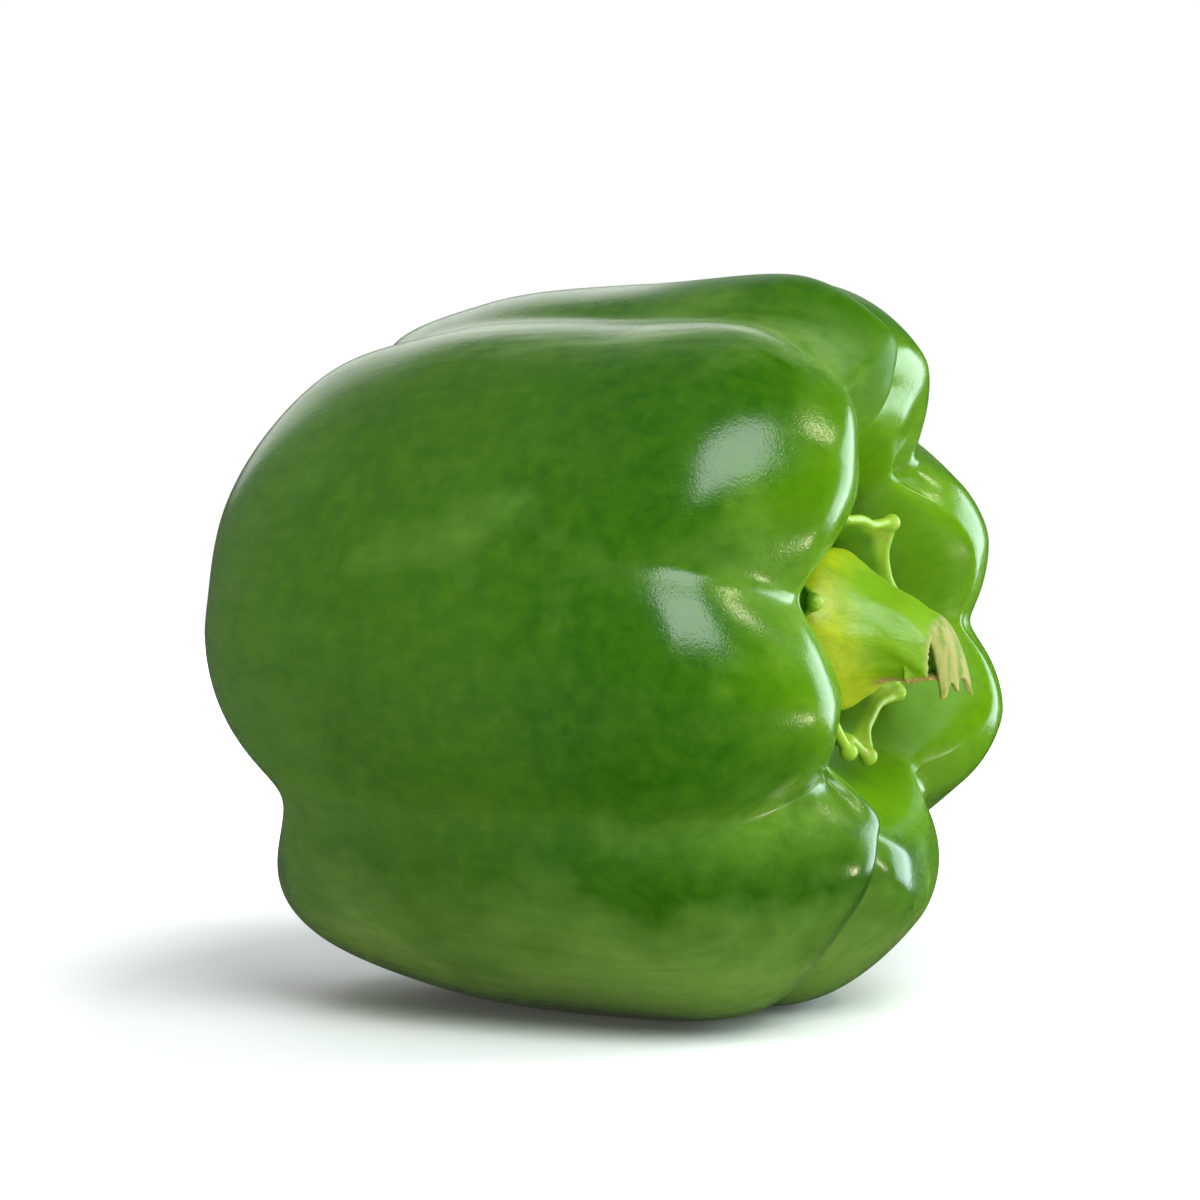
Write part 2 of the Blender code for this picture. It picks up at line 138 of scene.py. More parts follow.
# Way in which grooves sink at each outline point, in degrees: 0 is straight toward the axis, 90 is along
# it away from the stem end. It turns more slowly than the skin does, so no groove folds the shoulder.
GROOVE_LEANS = (-90, -90, -75, -42, -12, 0, 8, 38, 68, 92, 115, 90)
GROOVE_STOPS = (0, 2, 5, 8, 10, 11)
ANGLE_STOPS = (2, 5, 8)
GROOVE_WIDTHS = (0.0070, 0.0080, 0.0055)
GROOVE_FLOORS = (0.0034, 0.0018, 0.0016)
GROOVE_JOIN = 4
SWELL_STOPS = (0, 2.5, 3.9, 5.2, 7.5, 10, 11)
CAVITY_SWELL = 0.35
LEAST_RADIUS = 0.006

# Zones of the skin, which the material reads as attributes of the mesh. Angles and turns are round the axis;
# a pair of places says where a zone starts and is full, and four places also where it fades and is gone.
SKIN_ZONES = ("stem_end", "low_knuckle", "crease", "cavity", "hollow", "along", "under", "sheen", "dull")
STEM_END_PLACES = (5.7, 7.9)
CAVITY_PLACES = (8.2, 9.6)
# Painted shade: deep in the stem cavity the skin is darkened toward deep green between these places
CAVITY_SHADE_PLACES = (9.2, 10.4)
# Groove depth at which the painted highlight in the creases is full
FULL_CREASE = 0.006
SHOULDER_REACH = 0.040
# Painted floor light: the skin is paler below these heights
UNDER_HEIGHTS = (0.001, 0.024)
# Knuckle whose skin stays deep green nearly to the shoulder; between the knuckle places it is also darkened
# as painted shade
DEEP_KNUCKLE = 304.0
DEEP_TURN = 34.0
DEEP_SHARE = 0.8
KNUCKLE_PLACES = (5.2, 6.4, 7.4, 8.2)
# Painted highlight, a pale band in front of the crease along the top, and the dull flank of the knuckle
# beyond it
SHEEN_ANGLE = 66.0
SHEEN_TURN = 7.0
SHEEN_PLACES = (3.4, 4.8, 6.0, 7.2)
DULL_ANGLE = 78.0
DULL_TURN = 12.0
DULL_PLACES = (5.8, 6.6)
# Deep green patch, dull too, on top of the lobe behind that band
PATCH_ANGLE = 96.0
PATCH_TURN = 24.0
PATCH_PLACES = (4.8, 5.6, 6.2, 7.2)
# Where the soft dents of the skin begin, in places from either end
DENT_PLACES = (0.2, 1.5)

# Blossom scar: how ragged and how flat it is, and the size of its raggedness
SCAR_RAGGED = 0.25
SCAR_FLAT = 0.32
SCAR_WAVES = 2.2

# Calyx: a cup standing on the cavity floor, as (height above the cavity floor, radius)
CALYX_OUTSIDE = (
    (0.0004, 0.0),
    (0.0010, 0.0040),
    (0.0027, 0.0078),
    (0.0051, 0.0105),
    (0.0076, 0.0120),
    (0.0099, 0.0127),
)
CALYX_INSIDE = (
    (0.0103, 0.0121),
    (0.0080, 0.0112),
    (0.0058, 0.0104),
    (0.0050, 0.0098),
    (0.0049, 0.0),
)
CALYX_COLUMNS = 192
RIM_HEIGHT = 0.0100
RIM_RADIUS = 0.0125
# Teeth of the rim, each ending in a small knob
Tooth = namedtuple("Tooth", "angle reach rise")
TEETH = (
    Tooth(19, 0.0006, 0.0026),
    Tooth(74, 0.0014, 0.0012),
    Tooth(129, 0.0022, 0.0012),
    Tooth(172, 0.0012, 0.0007),
    Tooth(216, 0.0022, 0.0012),
    Tooth(266, 0.0024, 0.0013),
    Tooth(293, 0.0022, 0.0012),
    Tooth(338, 0.0014, 0.0008),
)
# The rim is low along the front, where the shoulders lean over it
DIP_ANGLE = 30.0
DIP_TURN = 52.0
DIP_DROP = 0.0036
DIP_TUCK = 0.0008
CUP_FLOOR = 0.0050
TOOTH_WIDTH = 9.0
TOOTH_START = 0.0098
RIM_STEPS = 16
# The paler rim, by height above the cavity floor and by radius
RIM_HEIGHTS = (0.0085, 0.0102)
RIM_RADII = (0.0108, 0.0122)
CALYX_VOXEL = 0.00022
CALYX_SMOOTHING = 3

# Stem: (height above the cavity floor, upward shift from the cavity's axis, radius), foot to torn end
STEM_COURSE = (
    (0.0053, -0.0001, 0.0096),
    (0.0075, -0.0001, 0.0094),
    (0.0095, -0.0005, 0.0085),
    (0.0115, -0.0006, 0.0071),
    (0.0140, -0.0008, 0.0058),
    (0.0166, -0.0014, 0.0052),
    (0.0188, -0.0025, 0.0048),
    (0.0203, -0.0036, 0.0045),
)
STEM_COLUMNS = 120
STEM_RINGS = 110
# Ribs of the stem as (angle, share of the full height). They wind and fade toward the torn end.
STEM_RIBS = ((14, 1.0), (66, 0.8), (121, 1.1), (170, 0.7), (231, 0.6), (289, 1.0), (341, 0.8))
RIB_WIDTH = 13.0
RIB_WINDING = 30.0
RIB_FADING = 0.5
RIB_MEAN = 0.6
STEM_DENT = 0.00018
STEM_WAVES = 260.0
STEM_VOXEL = 0.00016
STEM_SMOOTHING = 1
# The underside is torn away above this line, as (height above the floor, upward shift)
TEAR_LINE = ((0.0110, -0.0092), (0.0130, -0.0064), (0.0175, -0.0055), (0.0220, -0.0050))
TEAR_WAVES = 900.0
FINE_TEAR_WAVES = 2100.0
END_HOLLOW = 0.0016
HOLLOW_STEPS = 3
# Dry flap of skin that hangs from the top of the torn end, as (height above the floor, upward shift)
FLAP_COURSE = ((0.0182, 0.0019), (0.0203, 0.0006), (0.0221, -0.0026), (0.0234, -0.0068))
FLAP_WIDTHS = (0.0048, 0.0056, 0.0050, 0.0042)
FLAP_TWIST = 0.0018
FLAP_SIDE = 0.0008
FLAP_NOTCH = 0.11
FLAP_TURN = 1.5
FLAP_HEIGHT_SLOPES = (0.0022, 0.0013)
FLAP_SHIFT_SLOPES = (-0.0012, -0.0036)
FLAP_GRID = (60, 40)
FLAP_RAGGED = 0.12
FLAP_CREASE = 0.00025
FLAP_EDGE = 0.0003
# Sizes of those three noises in the flap's own width and length
RAGGED_WAVES = 6.0
CREASE_WAVES = (7.0, 1.5)
EDGE_WAVES = 8.0
# Dry, torn and flared parts of the stem, by height above the floor and by upward shift
DRY_HEIGHTS = (0.0190, 0.0206)
FOOT_HEIGHTS = (0.0085, 0.0150)
FOOT_SLANT = 0.35
TORN_HEIGHTS = (0.0125, 0.0140)
END_HEIGHTS = (0.0200, 0.0206)
TIP_SHIFTS = (-0.0078, -0.0064)
TORN_BAND = (0.00012, 0.0006)
TIP_TORN = 0.8
TORN_DRY = 0.7

# Photograph's view: where the axis origin falls in a 1200 by 1200 image, and the lens that gives its size
IMAGE_SIDE = 1200.0
AXIS_PIXEL = (604.8, 639.5)
VIEW_AZIMUTH = 21.4
VIEW_ELEVATION = 6.0
SENSOR_MILLIMETRES = 36.0
FOCAL_PIXELS = 5148.0
NEAR_CLIP = 0.01
FLOOR_RADIUS = 0.42
# The floor glows as a painted light, a little near the pepper, which paints a shadow round it, and more away
# from it: near, far, and the two glows
FLOOR_GLOW = (0.06, 0.14, 0.03, 1.0)
# The room is bright toward the first direction: range of the cosine to it, and the brightness at both ends
ROOM_DIRECTION = (-0.85, -0.35, 0.40)
ROOM_RANGE = (0.0, 0.95, 0.12, 1.0)

# Soft lights facing the pepper. Each takes a share of one of the studio's strengths, and one that isn't
# glossy leaves no reflection.
SoftLight = namedtuple(
    "SoftLight", "name azimuth elevation distance width height colour strength share glossy"
)
WHITE = (1.0, 1.0, 1.0)
WARM = (1.0, 0.93, 0.62)
LIGHTS = (
    SoftLight("window", 44.0, 41.0, 0.55, 0.38, 0.31, (0.93, 1.0, 0.98), "window_strength", 1.0, True),
    SoftLight("overhead", 0.0, 88.0, 0.90, 1.10, 1.10, WHITE, "overhead_strength", 1.0, False),
    SoftLight("back", -148.0, 24.0, 0.90, 0.90, 0.40, (0.97, 1.0, 0.97), "back_strength", 1.0, True),
    SoftLight("strip", 131.0, 4.0, 0.60, 0.44, 0.50, (0.78, 0.93, 1.0), "strip_strength", 1.0, True),
    SoftLight("fill", 12.0, -7.0, 0.25, 0.34, 0.02, WHITE, "fill_strength", 1.0, False),
    SoftLight("lamp", 100.0, 42.0, 0.50, 0.06, 0.06, WARM, "lamp_strength", 1.0, True),
    SoftLight("low_lamp", 80.0, -18.0, 0.13, 0.010, 0.010, WARM, "lamp_strength", 0.06, True),
)

# Noises of the materials, as scale, detail, roughness and where needed the stretch along each axis
BLOTCHES = (70.0, 4.0, 0.55)
MOTTLE = (420.0, 3.0, 0.6)
SKIN_STREAKS = (900.0, 2.0, 0.5, (0.06, 1.0, 1.0))
BANDS = (260.0, 4.0, 0.6, (0.16, 1.0, 1.0))
PEBBLES = (1500.0, 3.0, 0.6)
PORE_SCALE = 2600.0
CALYX_SPECKLE = (900.0, 4.0, 0.6)
CALYX_PATCHES = (260.0, 3.0, 0.5)
STEM_STREAKS = (1100.0, 3.0, 0.55, (0.14, 1.0, 1.0))
STEM_PATCHES = (330.0, 4.0, 0.6)
STEM_SPECKS = (1700.0, 3.0, 0.6)
FLAP_CREASES = (1300.0, 2.0, 0.5, (1.0, 1.0, 0.12))
SCAR_GRAIN = (2400.0, 4.0, 0.6)

# How one number gives the next in the materials: its range, then what the two ends of the range become,
# which is 0 and 1 if they are left out
TO_FRESH = (0.18, 0.95)
TO_MIDDLE = (-0.05, 0.35, 1.0, 0.0)
TO_BLOOM_AND_REFLECTION = (-0.95, -0.40, 1.0, 0.0)
TO_KNUCKLE_SHADE = (0.2, 1.0, 0.0, 0.7)
TO_PATCH = (0.0, 1.0, 0.0, 0.75)
CREASE_HIGHLIGHT_STREAKS = (0.35, 0.65, 0.4, 1.0)
TO_CREASE_HIGHLIGHT = (0.35, 1.0, 0.0, 0.5)
TO_SHEEN = (0.38, 0.62, 0.0, 0.45)
TO_CAVITY_SHADE = (0.0, 1.0, 0.0, 0.7)
TO_FLOOR_LIGHT = (0.10, 0.85, 0.0, 0.90)
TO_MOTTLE = (0.35, 0.7, 0.0, 0.22)
TO_STREAKS = (0.45, 0.75, 0.0, 0.20)
SKIN_GLOSS = (0.7, 1.3, 0.18, 0.26)
DULL_LEVEL = (0.0, 0.7, 0.5, 0.16)
PORES = (0.0, 0.5)
TO_STEM_PATCHES = (0.3, 0.7, 0.0, 0.5)
TO_RIM = (0.15, 0.85)
BROWN_SPECKLE = (0.56, 0.66)
BROWN_RIM = (0.5, 1.0, 0.0, 0.55)
CALYX_GLOSS = (0.3, 0.7, 0.34, 0.50)
TO_FOOT = (0.1, 0.8)
TO_STEM_STREAKS = (0.45, 0.8, 0.0, 0.35)
TO_STRAW = (0.25, 0.75)
TO_CREASES = (0.46, 0.58, 0.0, 0.80)
BROWN_SPECKS = (0.42, 0.62)
BROWN_FLAP = (0.4, 1.0, 0.0, 0.45)
TORN_SPECKS = (0.25, 0.55, 0.35, 1.0)
STEM_GLOSS = (0.2, 0.8, 0.36, 0.72)
TO_CORK = (0.35, 0.65)
SCAR_GLOSS = (0.3, 0.7, 0.6, 0.85)
# Sway of the skin's colour borders with its blotches and bands, how much further the border of the painted
# floor light underneath sways, and the sway of the dry flap's border with the stem's patches
BLOTCH_SWAY = 1.2
BAND_SWAY = 0.7
FLOOR_LIGHT_SWAY = 1.2
STRAW_SWAY = 0.9
# How dull the cavity is, and what full dullness adds to the roughness
CAVITY_DULL = 0.7
DULL_ROUGHNESS = 0.24

# Bumps of the materials, as distance and strength
PORE_BUMP = (0.00002, 0.5)
PEBBLE_BUMP = (0.00003, 0.6)
STREAK_BUMP = (0.00003, 0.5)
CALYX_BUMP = (0.00008, 0.7)
STEM_LINE_BUMP = (0.00012, 0.8)
STEM_SPECK_BUMP = (0.00006, 0.6)
SCAR_BUMP = (0.0001, 0.8)
# How far red, green and blue light spread under each surface
SKIN_GLOW = (0.6, 1.0, 0.15)
CALYX_GLOW = (0.7, 1.0, 0.2)
STEM_GLOW = (0.8, 1.0, 0.2)
# Layout of a material's nodes in the editor
NODE_COLUMNS = 9
NODE_STEP = (220.0, 260.0)


def smooth_value(stops, values, at, slopes=(0.0, 0.0)):
    """Value at one place of a smooth curve through the values at the stops, with its two end slopes."""
    last = len(stops) - 1
    at = min(max(at, stops[0]), stops[last])
    k = 0
    while k < last - 1 and at >= stops[k + 1]:
        k += 1

    def slope(i):
        if i == 0:
            return slopes[0]
        if i == last:
            return slopes[1]
        before = stops[i] - stops[i - 1]
        after = stops[i + 1] - stops[i]
        rise_before = (values[i] - values[i - 1]) / before
        rise_after = (values[i + 1] - values[i]) / after
        return (rise_before * after + rise_after * before) / (before + after)

    step = stops[k + 1] - stops[k]
    t = (at - stops[k]) / step
    rest = 1.0 - t
    start = values[k] * rest * rest * (1.0 + 2.0 * t) + slope(k) * step * t * rest * rest
    end = values[k + 1] * t * t * (3.0 - 2.0 * t) - slope(k + 1) * step * t * t * rest
    return start + end


def turn(a, b):
    """Angle between two directions round the axis, 0 to 180 degrees."""
    return abs((a - b + 180.0) % 360.0 - 180.0)


def ease(low, high, value):
    """0 below low, 1 above high, and smooth between them."""
    share = min(max((value - low) / (high - low), 0.0), 1.0)
    return share * share * (3.0 - 2.0 * share)


def near(angle, centre, width, power=2):
    """1 at an angle round the axis, and falling to nothing beside it over a width."""
    return math.exp(-((turn(angle, centre) / width) ** power))


def hump(place, centre, spread):
    """1 at a place along the outline, and falling to nothing on both sides of it."""
    return math.exp(-(((place - centre) / spread) ** 2))


def zone(place, start, full, fading, gone):
    """1 between the two middle places, 0 beyond the outer ones, and smooth between them."""
    return ease(start, full, place) * (1.0 - ease(fading, gone, place))


def blend_round(angle, bumps, sharpness):
    """Means of the bumps' numbers round the axis, each bump weighed by how near its angle is."""
    weights = [math.exp(sharpness * (math.cos(math.radians(angle - bump.angle)) - 1.0)) for bump in bumps]
    columns = list(zip(*bumps))[1:]
    return [sum(w * v for w, v in zip(weights, column)) / sum(weights) for column in columns]


def outline_point(place):
    """Turned outline at a place counted in outline points. It crosses the axis squarely at both ends."""
    stops = range(len(OUTLINE))
    along = smooth_value(stops, [p[0] for p in OUTLINE], place)
    end_slopes = (OUTLINE[1][1], -OUTLINE[-2][1])
    radius = smooth_value(stops, [p[1] for p in OUTLINE], place, end_slopes)
    return along, radius


@lru_cache(maxsize=None)
def ring_state(place):
    """All that a ring of the fruit has in common: outline, its outward direction, and its grooves."""
    along, radius = outline_point(place)
    lean = math.radians(smooth_value(range(len(OUTLINE)), GROOVE_LEANS, place))
    outward = Vector((math.sin(lean), math.cos(lean)))
    width = smooth_value(ANGLE_STOPS, GROOVE_WIDTHS, place)
    floor = smooth_value(ANGLE_STOPS, GROOVE_FLOORS, place)
    grooves = []
    for groove in GROOVES:
        angle = smooth_value(ANGLE_STOPS, groove.angles, place)
        depth = smooth_value(GROOVE_STOPS, (0.0, *groove.depths, 0.0), place)
        grooves.append((angle, max(depth, 0.0)))
    return along, radius, outward, width, floor, grooves


@lru_cache(maxsize=None)
def swells_round(angle):
    """How far lobes and knuckles stand out at an angle, and how far they reach along the axis."""
    blossom, waist, middle, reach = blend_round(angle, LOBES, LOBE_BLEND)
    shoulder, rise = blend_round(angle, KNUCKLES, KNUCKLE_BLEND)
    return blossom, waist, middle, shoulder, reach, rise


@lru_cache(maxsize=None)
def dome_round(angle):
    """Share of the full dome at an angle: none in a deep groove, all of it in the middle of a lobe."""
    nearest = min(turn(angle, groove.angles[0]) for groove in DEEP_GROOVES)
    return 1.0 - math.exp(-((nearest / DOME_TURN) ** 2))


def groove_depth(angle, radius, width, floor, grooves):
    """Depth of all the grooves at one point; where two run together the deeper one wins smoothly."""
    total = 0.0
    for centre, depth in grooves:
        side = math.radians(turn(angle, centre)) * max(radius, LEAST_RADIUS)
        fall = (math.hypot(side, floor) - floor) / width
        total += (depth * math.exp(-fall)) ** GROOVE_JOIN
    return total ** (1.0 / GROOVE_JOIN)


def axis_shift(place):
    """Sideways and upward shift of the bowed axis at a place along the outline."""
    share = place / LAST_PLACE
    to_blossom = (1.0 - share) ** 2
    to_stem = share ** 2
    return [b * to_blossom + s * to_stem for b, s in zip(BLOSSOM_SHIFT, STEM_SHIFT)]


def fruit_point(place, angle):
    """Point of the skin, from the outline, lobes, knuckles and grooves, and the grooves' depth there."""
    along, radius, outward, width, floor, grooves = ring_state(place)
    blossom, waist, middle, shoulder, reach, rise = swells_round(angle)
    swells = (0.0, blossom, waist, middle, shoulder, shoulder * CAVITY_SWELL, 0.0)
    radius += smooth_value(SWELL_STOPS, swells, place)
    along -= reach * hump(place, BLOSSOM_PLACE, BLOSSOM_SPREAD)
    along -= DOME_HEIGHT * dome_round(angle) * hump(place, DOME_PLACE, DOME_SPREAD)
    along += rise * hump(place, SHOULDER_PLACE, SHOULDER_SPREAD)
    depth = groove_depth(angle, radius, width, floor, grooves)
    along -= outward.x * depth
    radius = max(radius - outward.y * depth, 0.0)
    side, up = axis_shift(place)
    turned = math.radians(angle)
    return Vector((along, side - radius * math.cos(turned), up + radius * math.sin(turned))), depth


@lru_cache(maxsize=None)
def axis_origin():
    """Where the axis frame's origin lies in the row frame: the solid fruit's box tells it."""
    points = []
    for ring in range(SOLID_RINGS + 1):
        for column in range(SOLID_COLUMNS):
            angle = round(360.0 * column / SOLID_COLUMNS, 4)
            points.append(fruit_point(LAST_PLACE * ring / SOLID_RINGS, angle)[0])
    low, high = FRUIT_BOX
    return Vector(
        (
            low.x - min(point.x for point in points),
            low.y - min(point.y for point in points),
            high.z - max(point.z for point in points),
        )
    )


def cavity_point(height, angle, radius):
    """Point over the floor of the stem cavity, by height along the axis, angle and radius."""
    turned = math.radians(angle)
    here = Vector(
        (
            CAVITY_FLOOR + height,
            STEM_SHIFT[0] - radius * math.cos(turned),
            STEM_SHIFT[1] + radius * math.sin(turned),
        )
    )
    return axis_origin() + here


def around(azimuth, elevation, distance):
    """Point at a distance from the axis origin. Azimuth 0 is straight in front, 90 beyond the stem end."""
    a = math.radians(azimuth)
    e = math.radians(elevation)
    way = Vector((math.sin(a) * math.cos(e), -math.cos(a) * math.cos(e), math.sin(e)))
    return axis_origin() + way * distance


def length_property(name, description, default):
    """A length in metres that a user may change."""
    return FloatProperty(name=name, description=description, default=default, unit="LENGTH")


class PepperSizes(bpy.types.PropertyGroup):
    """Sizes of the fine surface over the solid pepper."""

    fruit_columns: IntProperty(
        name="Fruit Columns", description="Faces round the fruit", default=416, min=96, max=424
    )
    fruit_rings: IntProperty(
        name="Fruit Rings", description="Faces from blossom end to cavity", default=228, min=44, max=230
    )
    waviness: length_property("Waviness", "Height of the soft dents and swells of the skin", 0.00022)
    dent_size: length_property("Dent Size", "Width of the soft dents", 0.016)
    scar_radius: length_property("Blossom Scar", "Radius of the dry blossom scar", 0.0018)
    rim_thickness: length_property("Calyx Rim", "Radius of the rounded rim of the calyx", 0.0006)
    knob_radius: length_property("Tooth Knob", "Radius of the knobs on the calyx teeth", 0.0011)
    rib_depth: length_property("Stem Ribs", "Height of the ribs along the stem", 0.00045)
    tear_teeth: length_property("Torn Teeth", "Height of the ragged torn edge", 0.0007)
    flap_thickness: length_property("Flap Thickness", "Thickness of the dry flap", 0.0007)


def colour_property(name, description, *colour):
    """A solid colour that a user may change, as linear red, green and blue."""
    return FloatVectorProperty(
        name=name, description=description, default=(*colour, 1.0), size=4, subtype="COLOR", min=0.0, max=1.0
    )


class PepperColours(bpy.types.PropertyGroup):
    """Colours of the skin, calyx, stem and floor, with the painted shade, highlights and floor light of the
    skin.
    """

    # Painted shade: a darker green on the low knuckle
    knuckle_shade: colour_property("Dark Green", "Darkest skin, on the low knuckle", 0.009, 0.046, 0.0)
    deep_green: colour_property("Deep Green", "Skin in front of the shoulders", 0.013, 0.069, 0.0)
    mid_green: colour_property("Middle Green", "Skin along the middle", 0.027, 0.085, 0.003)
    fresh_green: colour_property("Fresh Green", "Skin toward the shoulders", 0.076, 0.182, 0.0)
    cavity_green: colour_property("Cavity Green", "Skin inside the stem cavity", 0.080, 0.195, 0.0)
    # Waxy bloom, partly a painted reflection haze, toward the blossom end
    bloom_and_reflection: colour_property("Bloom", "Faint waxy bloom at the blossom end", 0.046, 0.118, 0.012)
    # Painted floor light: a paler green underneath, as if lit from the floor
    floor_light: colour_property("Belly", "Pale skin underneath", 0.135, 0.235, 0.040)
    # Painted highlight: pale band beside the top crease
    sheen: colour_property("Sheen", "Pale waxy band beside the top crease", 0.330, 0.430, 0.200)
    # Painted highlight: pale green in the creases
    crease_highlight: colour_property("Vein", "Pale skin in the creases", 0.140, 0.260, 0.030)
    calyx_green: colour_property("Calyx Green", "Cup of the calyx", 0.060, 0.175, 0.004)
    calyx_rim: colour_property("Calyx Rim", "Rim and knobs of the calyx", 0.200, 0.330, 0.018)
    stem_green: colour_property("Stem Green", "Fresh part of the stem", 0.130, 0.260, 0.003)
    stem_yellow: colour_property("Stem Yellow", "Flared foot of the stem", 0.290, 0.360, 0.003)
    straw: colour_property("Straw", "Dry flap at the torn end", 0.230, 0.240, 0.070)
    dry_brown: colour_property("Dry Brown", "Torn edges and the scar", 0.280, 0.185, 0.045)
    floor: colour_property("Floor", "Studio floor", 0.780, 0.780, 0.780)


def new_object(name, source, material):
    """Turn a bmesh that lies in the row frame into a smooth-shaded object at the origin."""
    mesh = bpy.data.meshes.new(name)
    source.to_mesh(mesh)
    source.free()
    mesh.materials.append(material)
    mesh.shade_smooth()
    piece = bpy.data.objects.new(name, mesh)
    bpy.context.scene.collection.objects.link(piece)
    return piece


def add_attribute(mesh, name, values):
    """Store one number for each vertex, for the material to read."""
    attribute = mesh.attributes.new(name, "FLOAT", "POINT")
    attribute.data.foreach_set("value", values)


def finish_piece(piece, node):
    """Let a piece stand for a solid and ride on the body."""
    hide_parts(node)
    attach(piece, "root")


def drop_crumbs(shape):
    """Keep only the largest body of a shape, without the crumbs that remeshing leaves loose."""
    for vert in shape.verts:
        vert.tag = False
    bodies = []
    for start in shape.verts:
        if start.tag:
            continue
        start.tag = True
        body = [start]
        for vert in body:
            for edge in vert.link_edges:
                other = edge.other_vert(vert)
                if not other.tag:
                    other.tag = True
                    body.append(other)
        bodies.append(body)
    bodies.sort(key=len)
    crumbs = [vert for body in bodies[:-1] for vert in body]
    bmesh.ops.delete(shape, geom=crumbs, context="VERTS")


def melt_together(name, shapes, voxel, smoothing, material):
    """Merge closed shapes into one body by remeshing them, as a plant's tissue grows together."""
    merged = bmesh.new()
    for shape in shapes:
        mesh = bpy.data.meshes.new("shape")
        shape.to_mesh(mesh)
        shape.free()
        merged.from_mesh(mesh)
        bpy.data.meshes.remove(mesh)
    raw = bpy.data.meshes.new("raw")
    merged.to_mesh(raw)
    merged.free()
    holder = bpy.data.objects.new("raw", raw)
    bpy.context.scene.collection.objects.link(holder)
    remesh = holder.modifiers.new("melt", "REMESH")
    remesh.mode = "VOXEL"
    remesh.voxel_size = voxel
    bpy.context.view_layer.update()
    evaluated = holder.evaluated_get(bpy.context.evaluated_depsgraph_get())
    melted = bmesh.new()
    melted.from_mesh(evaluated.to_mesh())
    evaluated.to_mesh_clear()
    bpy.data.objects.remove(holder)
    bpy.data.meshes.remove(raw)
    for _ in range(smoothing):
        bmesh.ops.smooth_vert(
            melted, verts=melted.verts, factor=0.5, use_axis_x=True, use_axis_y=True, use_axis_z=True
        )
    if not melted.faces:
        raise RuntimeError(f"{name} has no faces after remeshing")
    drop_crumbs(melted)
    return new_object(name, melted, material)


def set_range(node, low, high, to_low=0.0, to_high=1.0):
    """Set the two ranges of a Map Range node."""
    for socket, number in zip(("From Min", "From Max", "To Min", "To Max"), (low, high, to_low, to_high)):
        node.inputs[socket].default_value = number


class Nodes:
    """Short calls for adding and joining the nodes of one material."""

    def __init__(self, name):
        self.material = bpy.data.materials.new(name)
        self.material.use_nodes = True
        self.tree = self.material.node_tree
        self.shader = self.tree.nodes["Principled BSDF"]
        self.count = 0

    def add(self, kind, **settings):
        node = self.tree.nodes.new(kind)
        self.count += 1
        row, column = divmod(self.count, NODE_COLUMNS)
        node.location = (-NODE_STEP[0] * (column + 1), -NODE_STEP[1] * row)
        for key, value in settings.items():
            setattr(node, key, value)
        return node

    def join(self, source, target):
        self.tree.links.new(source, target)

    def place(self, stretch=(1.0, 1.0, 1.0)):
        """Object coordinates in metres, stretched along each axis."""
        coordinates = self.add("ShaderNodeTexCoord")
        mapping = self.add("ShaderNodeMapping")
        mapping.inputs["Scale"].default_value = stretch
        self.join(coordinates.outputs["Object"], mapping.inputs["Vector"])
        return mapping.outputs["Vector"]

    def noise(self, scale, detail=3.0, roughness=0.5, stretch=(1.0, 1.0, 1.0)):
        texture = self.add("ShaderNodeTexNoise")
        texture.inputs["Scale"].default_value = scale
        texture.inputs["Detail"].default_value = detail
        texture.inputs["Roughness"].default_value = roughness
        self.join(self.place(stretch), texture.inputs["Vector"])
        return texture.outputs["Fac"]

    def cells(self, scale):
        texture = self.add("ShaderNodeTexVoronoi")
        texture.inputs["Scale"].default_value = scale
        self.join(self.place(), texture.inputs["Vector"])
        return texture.outputs["Distance"]

    def attribute(self, name):
        return self.add("ShaderNodeAttribute", attribute_name=name).outputs["Fac"]

    def spread(self, value, low, high, to_low=0.0, to_high=1.0):
        """Map a number from one range to another, clamped."""
        node = self.add("ShaderNodeMapRange")
        self.join(value, node.inputs["Value"])
        set_range(node, low, high, to_low, to_high)
        return node.outputs["Result"]

    def calculate(self, operation, first, second):
        """Join two numbers; each is a socket or a plain number."""
        node = self.add("ShaderNodeMath", operation=operation)
        for socket, value in zip(node.inputs, (first, second)):
            self.feed(value, socket)
        return node.outputs["Value"]

    def plus(self, first, second):
        return self.calculate("ADD", first, second)

    def times(self, first, second):
        return self.calculate("MULTIPLY", first, second)

    def sway(self, value, size):
        """A noise moved to lie round 0, times a size."""
        return self.times(self.calculate("SUBTRACT", value, 0.5), size)

    def feed(self, value, socket):
        """Join a socket, or set a plain number or colour."""
        if isinstance(value, bpy.types.NodeSocket):
            self.join(value, socket)
        else:
            socket.default_value = value

    def mix(self, share, first, second):
        """Mix two colours; each is a socket or a plain colour."""
        node = self.add("ShaderNodeMix", data_type="RGBA")
        self.join(share, node.inputs["Factor"])
        sockets = [s for s in node.inputs if s.type == "RGBA"]
        for socket, value in zip(sockets, (first, second)):
            self.feed(value, socket)
        return [s for s in node.outputs if s.type == "RGBA"][0]

    def bump(self, height, distance, strength=1.0, under=None):
        node = self.add("ShaderNodeBump")
        node.inputs["Distance"].default_value = distance
        node.inputs["Strength"].default_value = strength
        self.join(height, node.inputs["Height"])
        if under is not None:
            self.join(under, node.inputs["Normal"])
        return node.outputs["Normal"]

    def shine(self, **values):
        """Set the shader's own sockets that are the same all over."""
        for name, value in values.items():
            self.shader.inputs[name.replace("_", " ").title().replace("Ior", "IOR")].default_value = value

    def glow_through(self, radius):
        """How far each of red, green and blue light spreads under the surface."""
        self.shader.inputs["Subsurface Radius"].default_value = radius


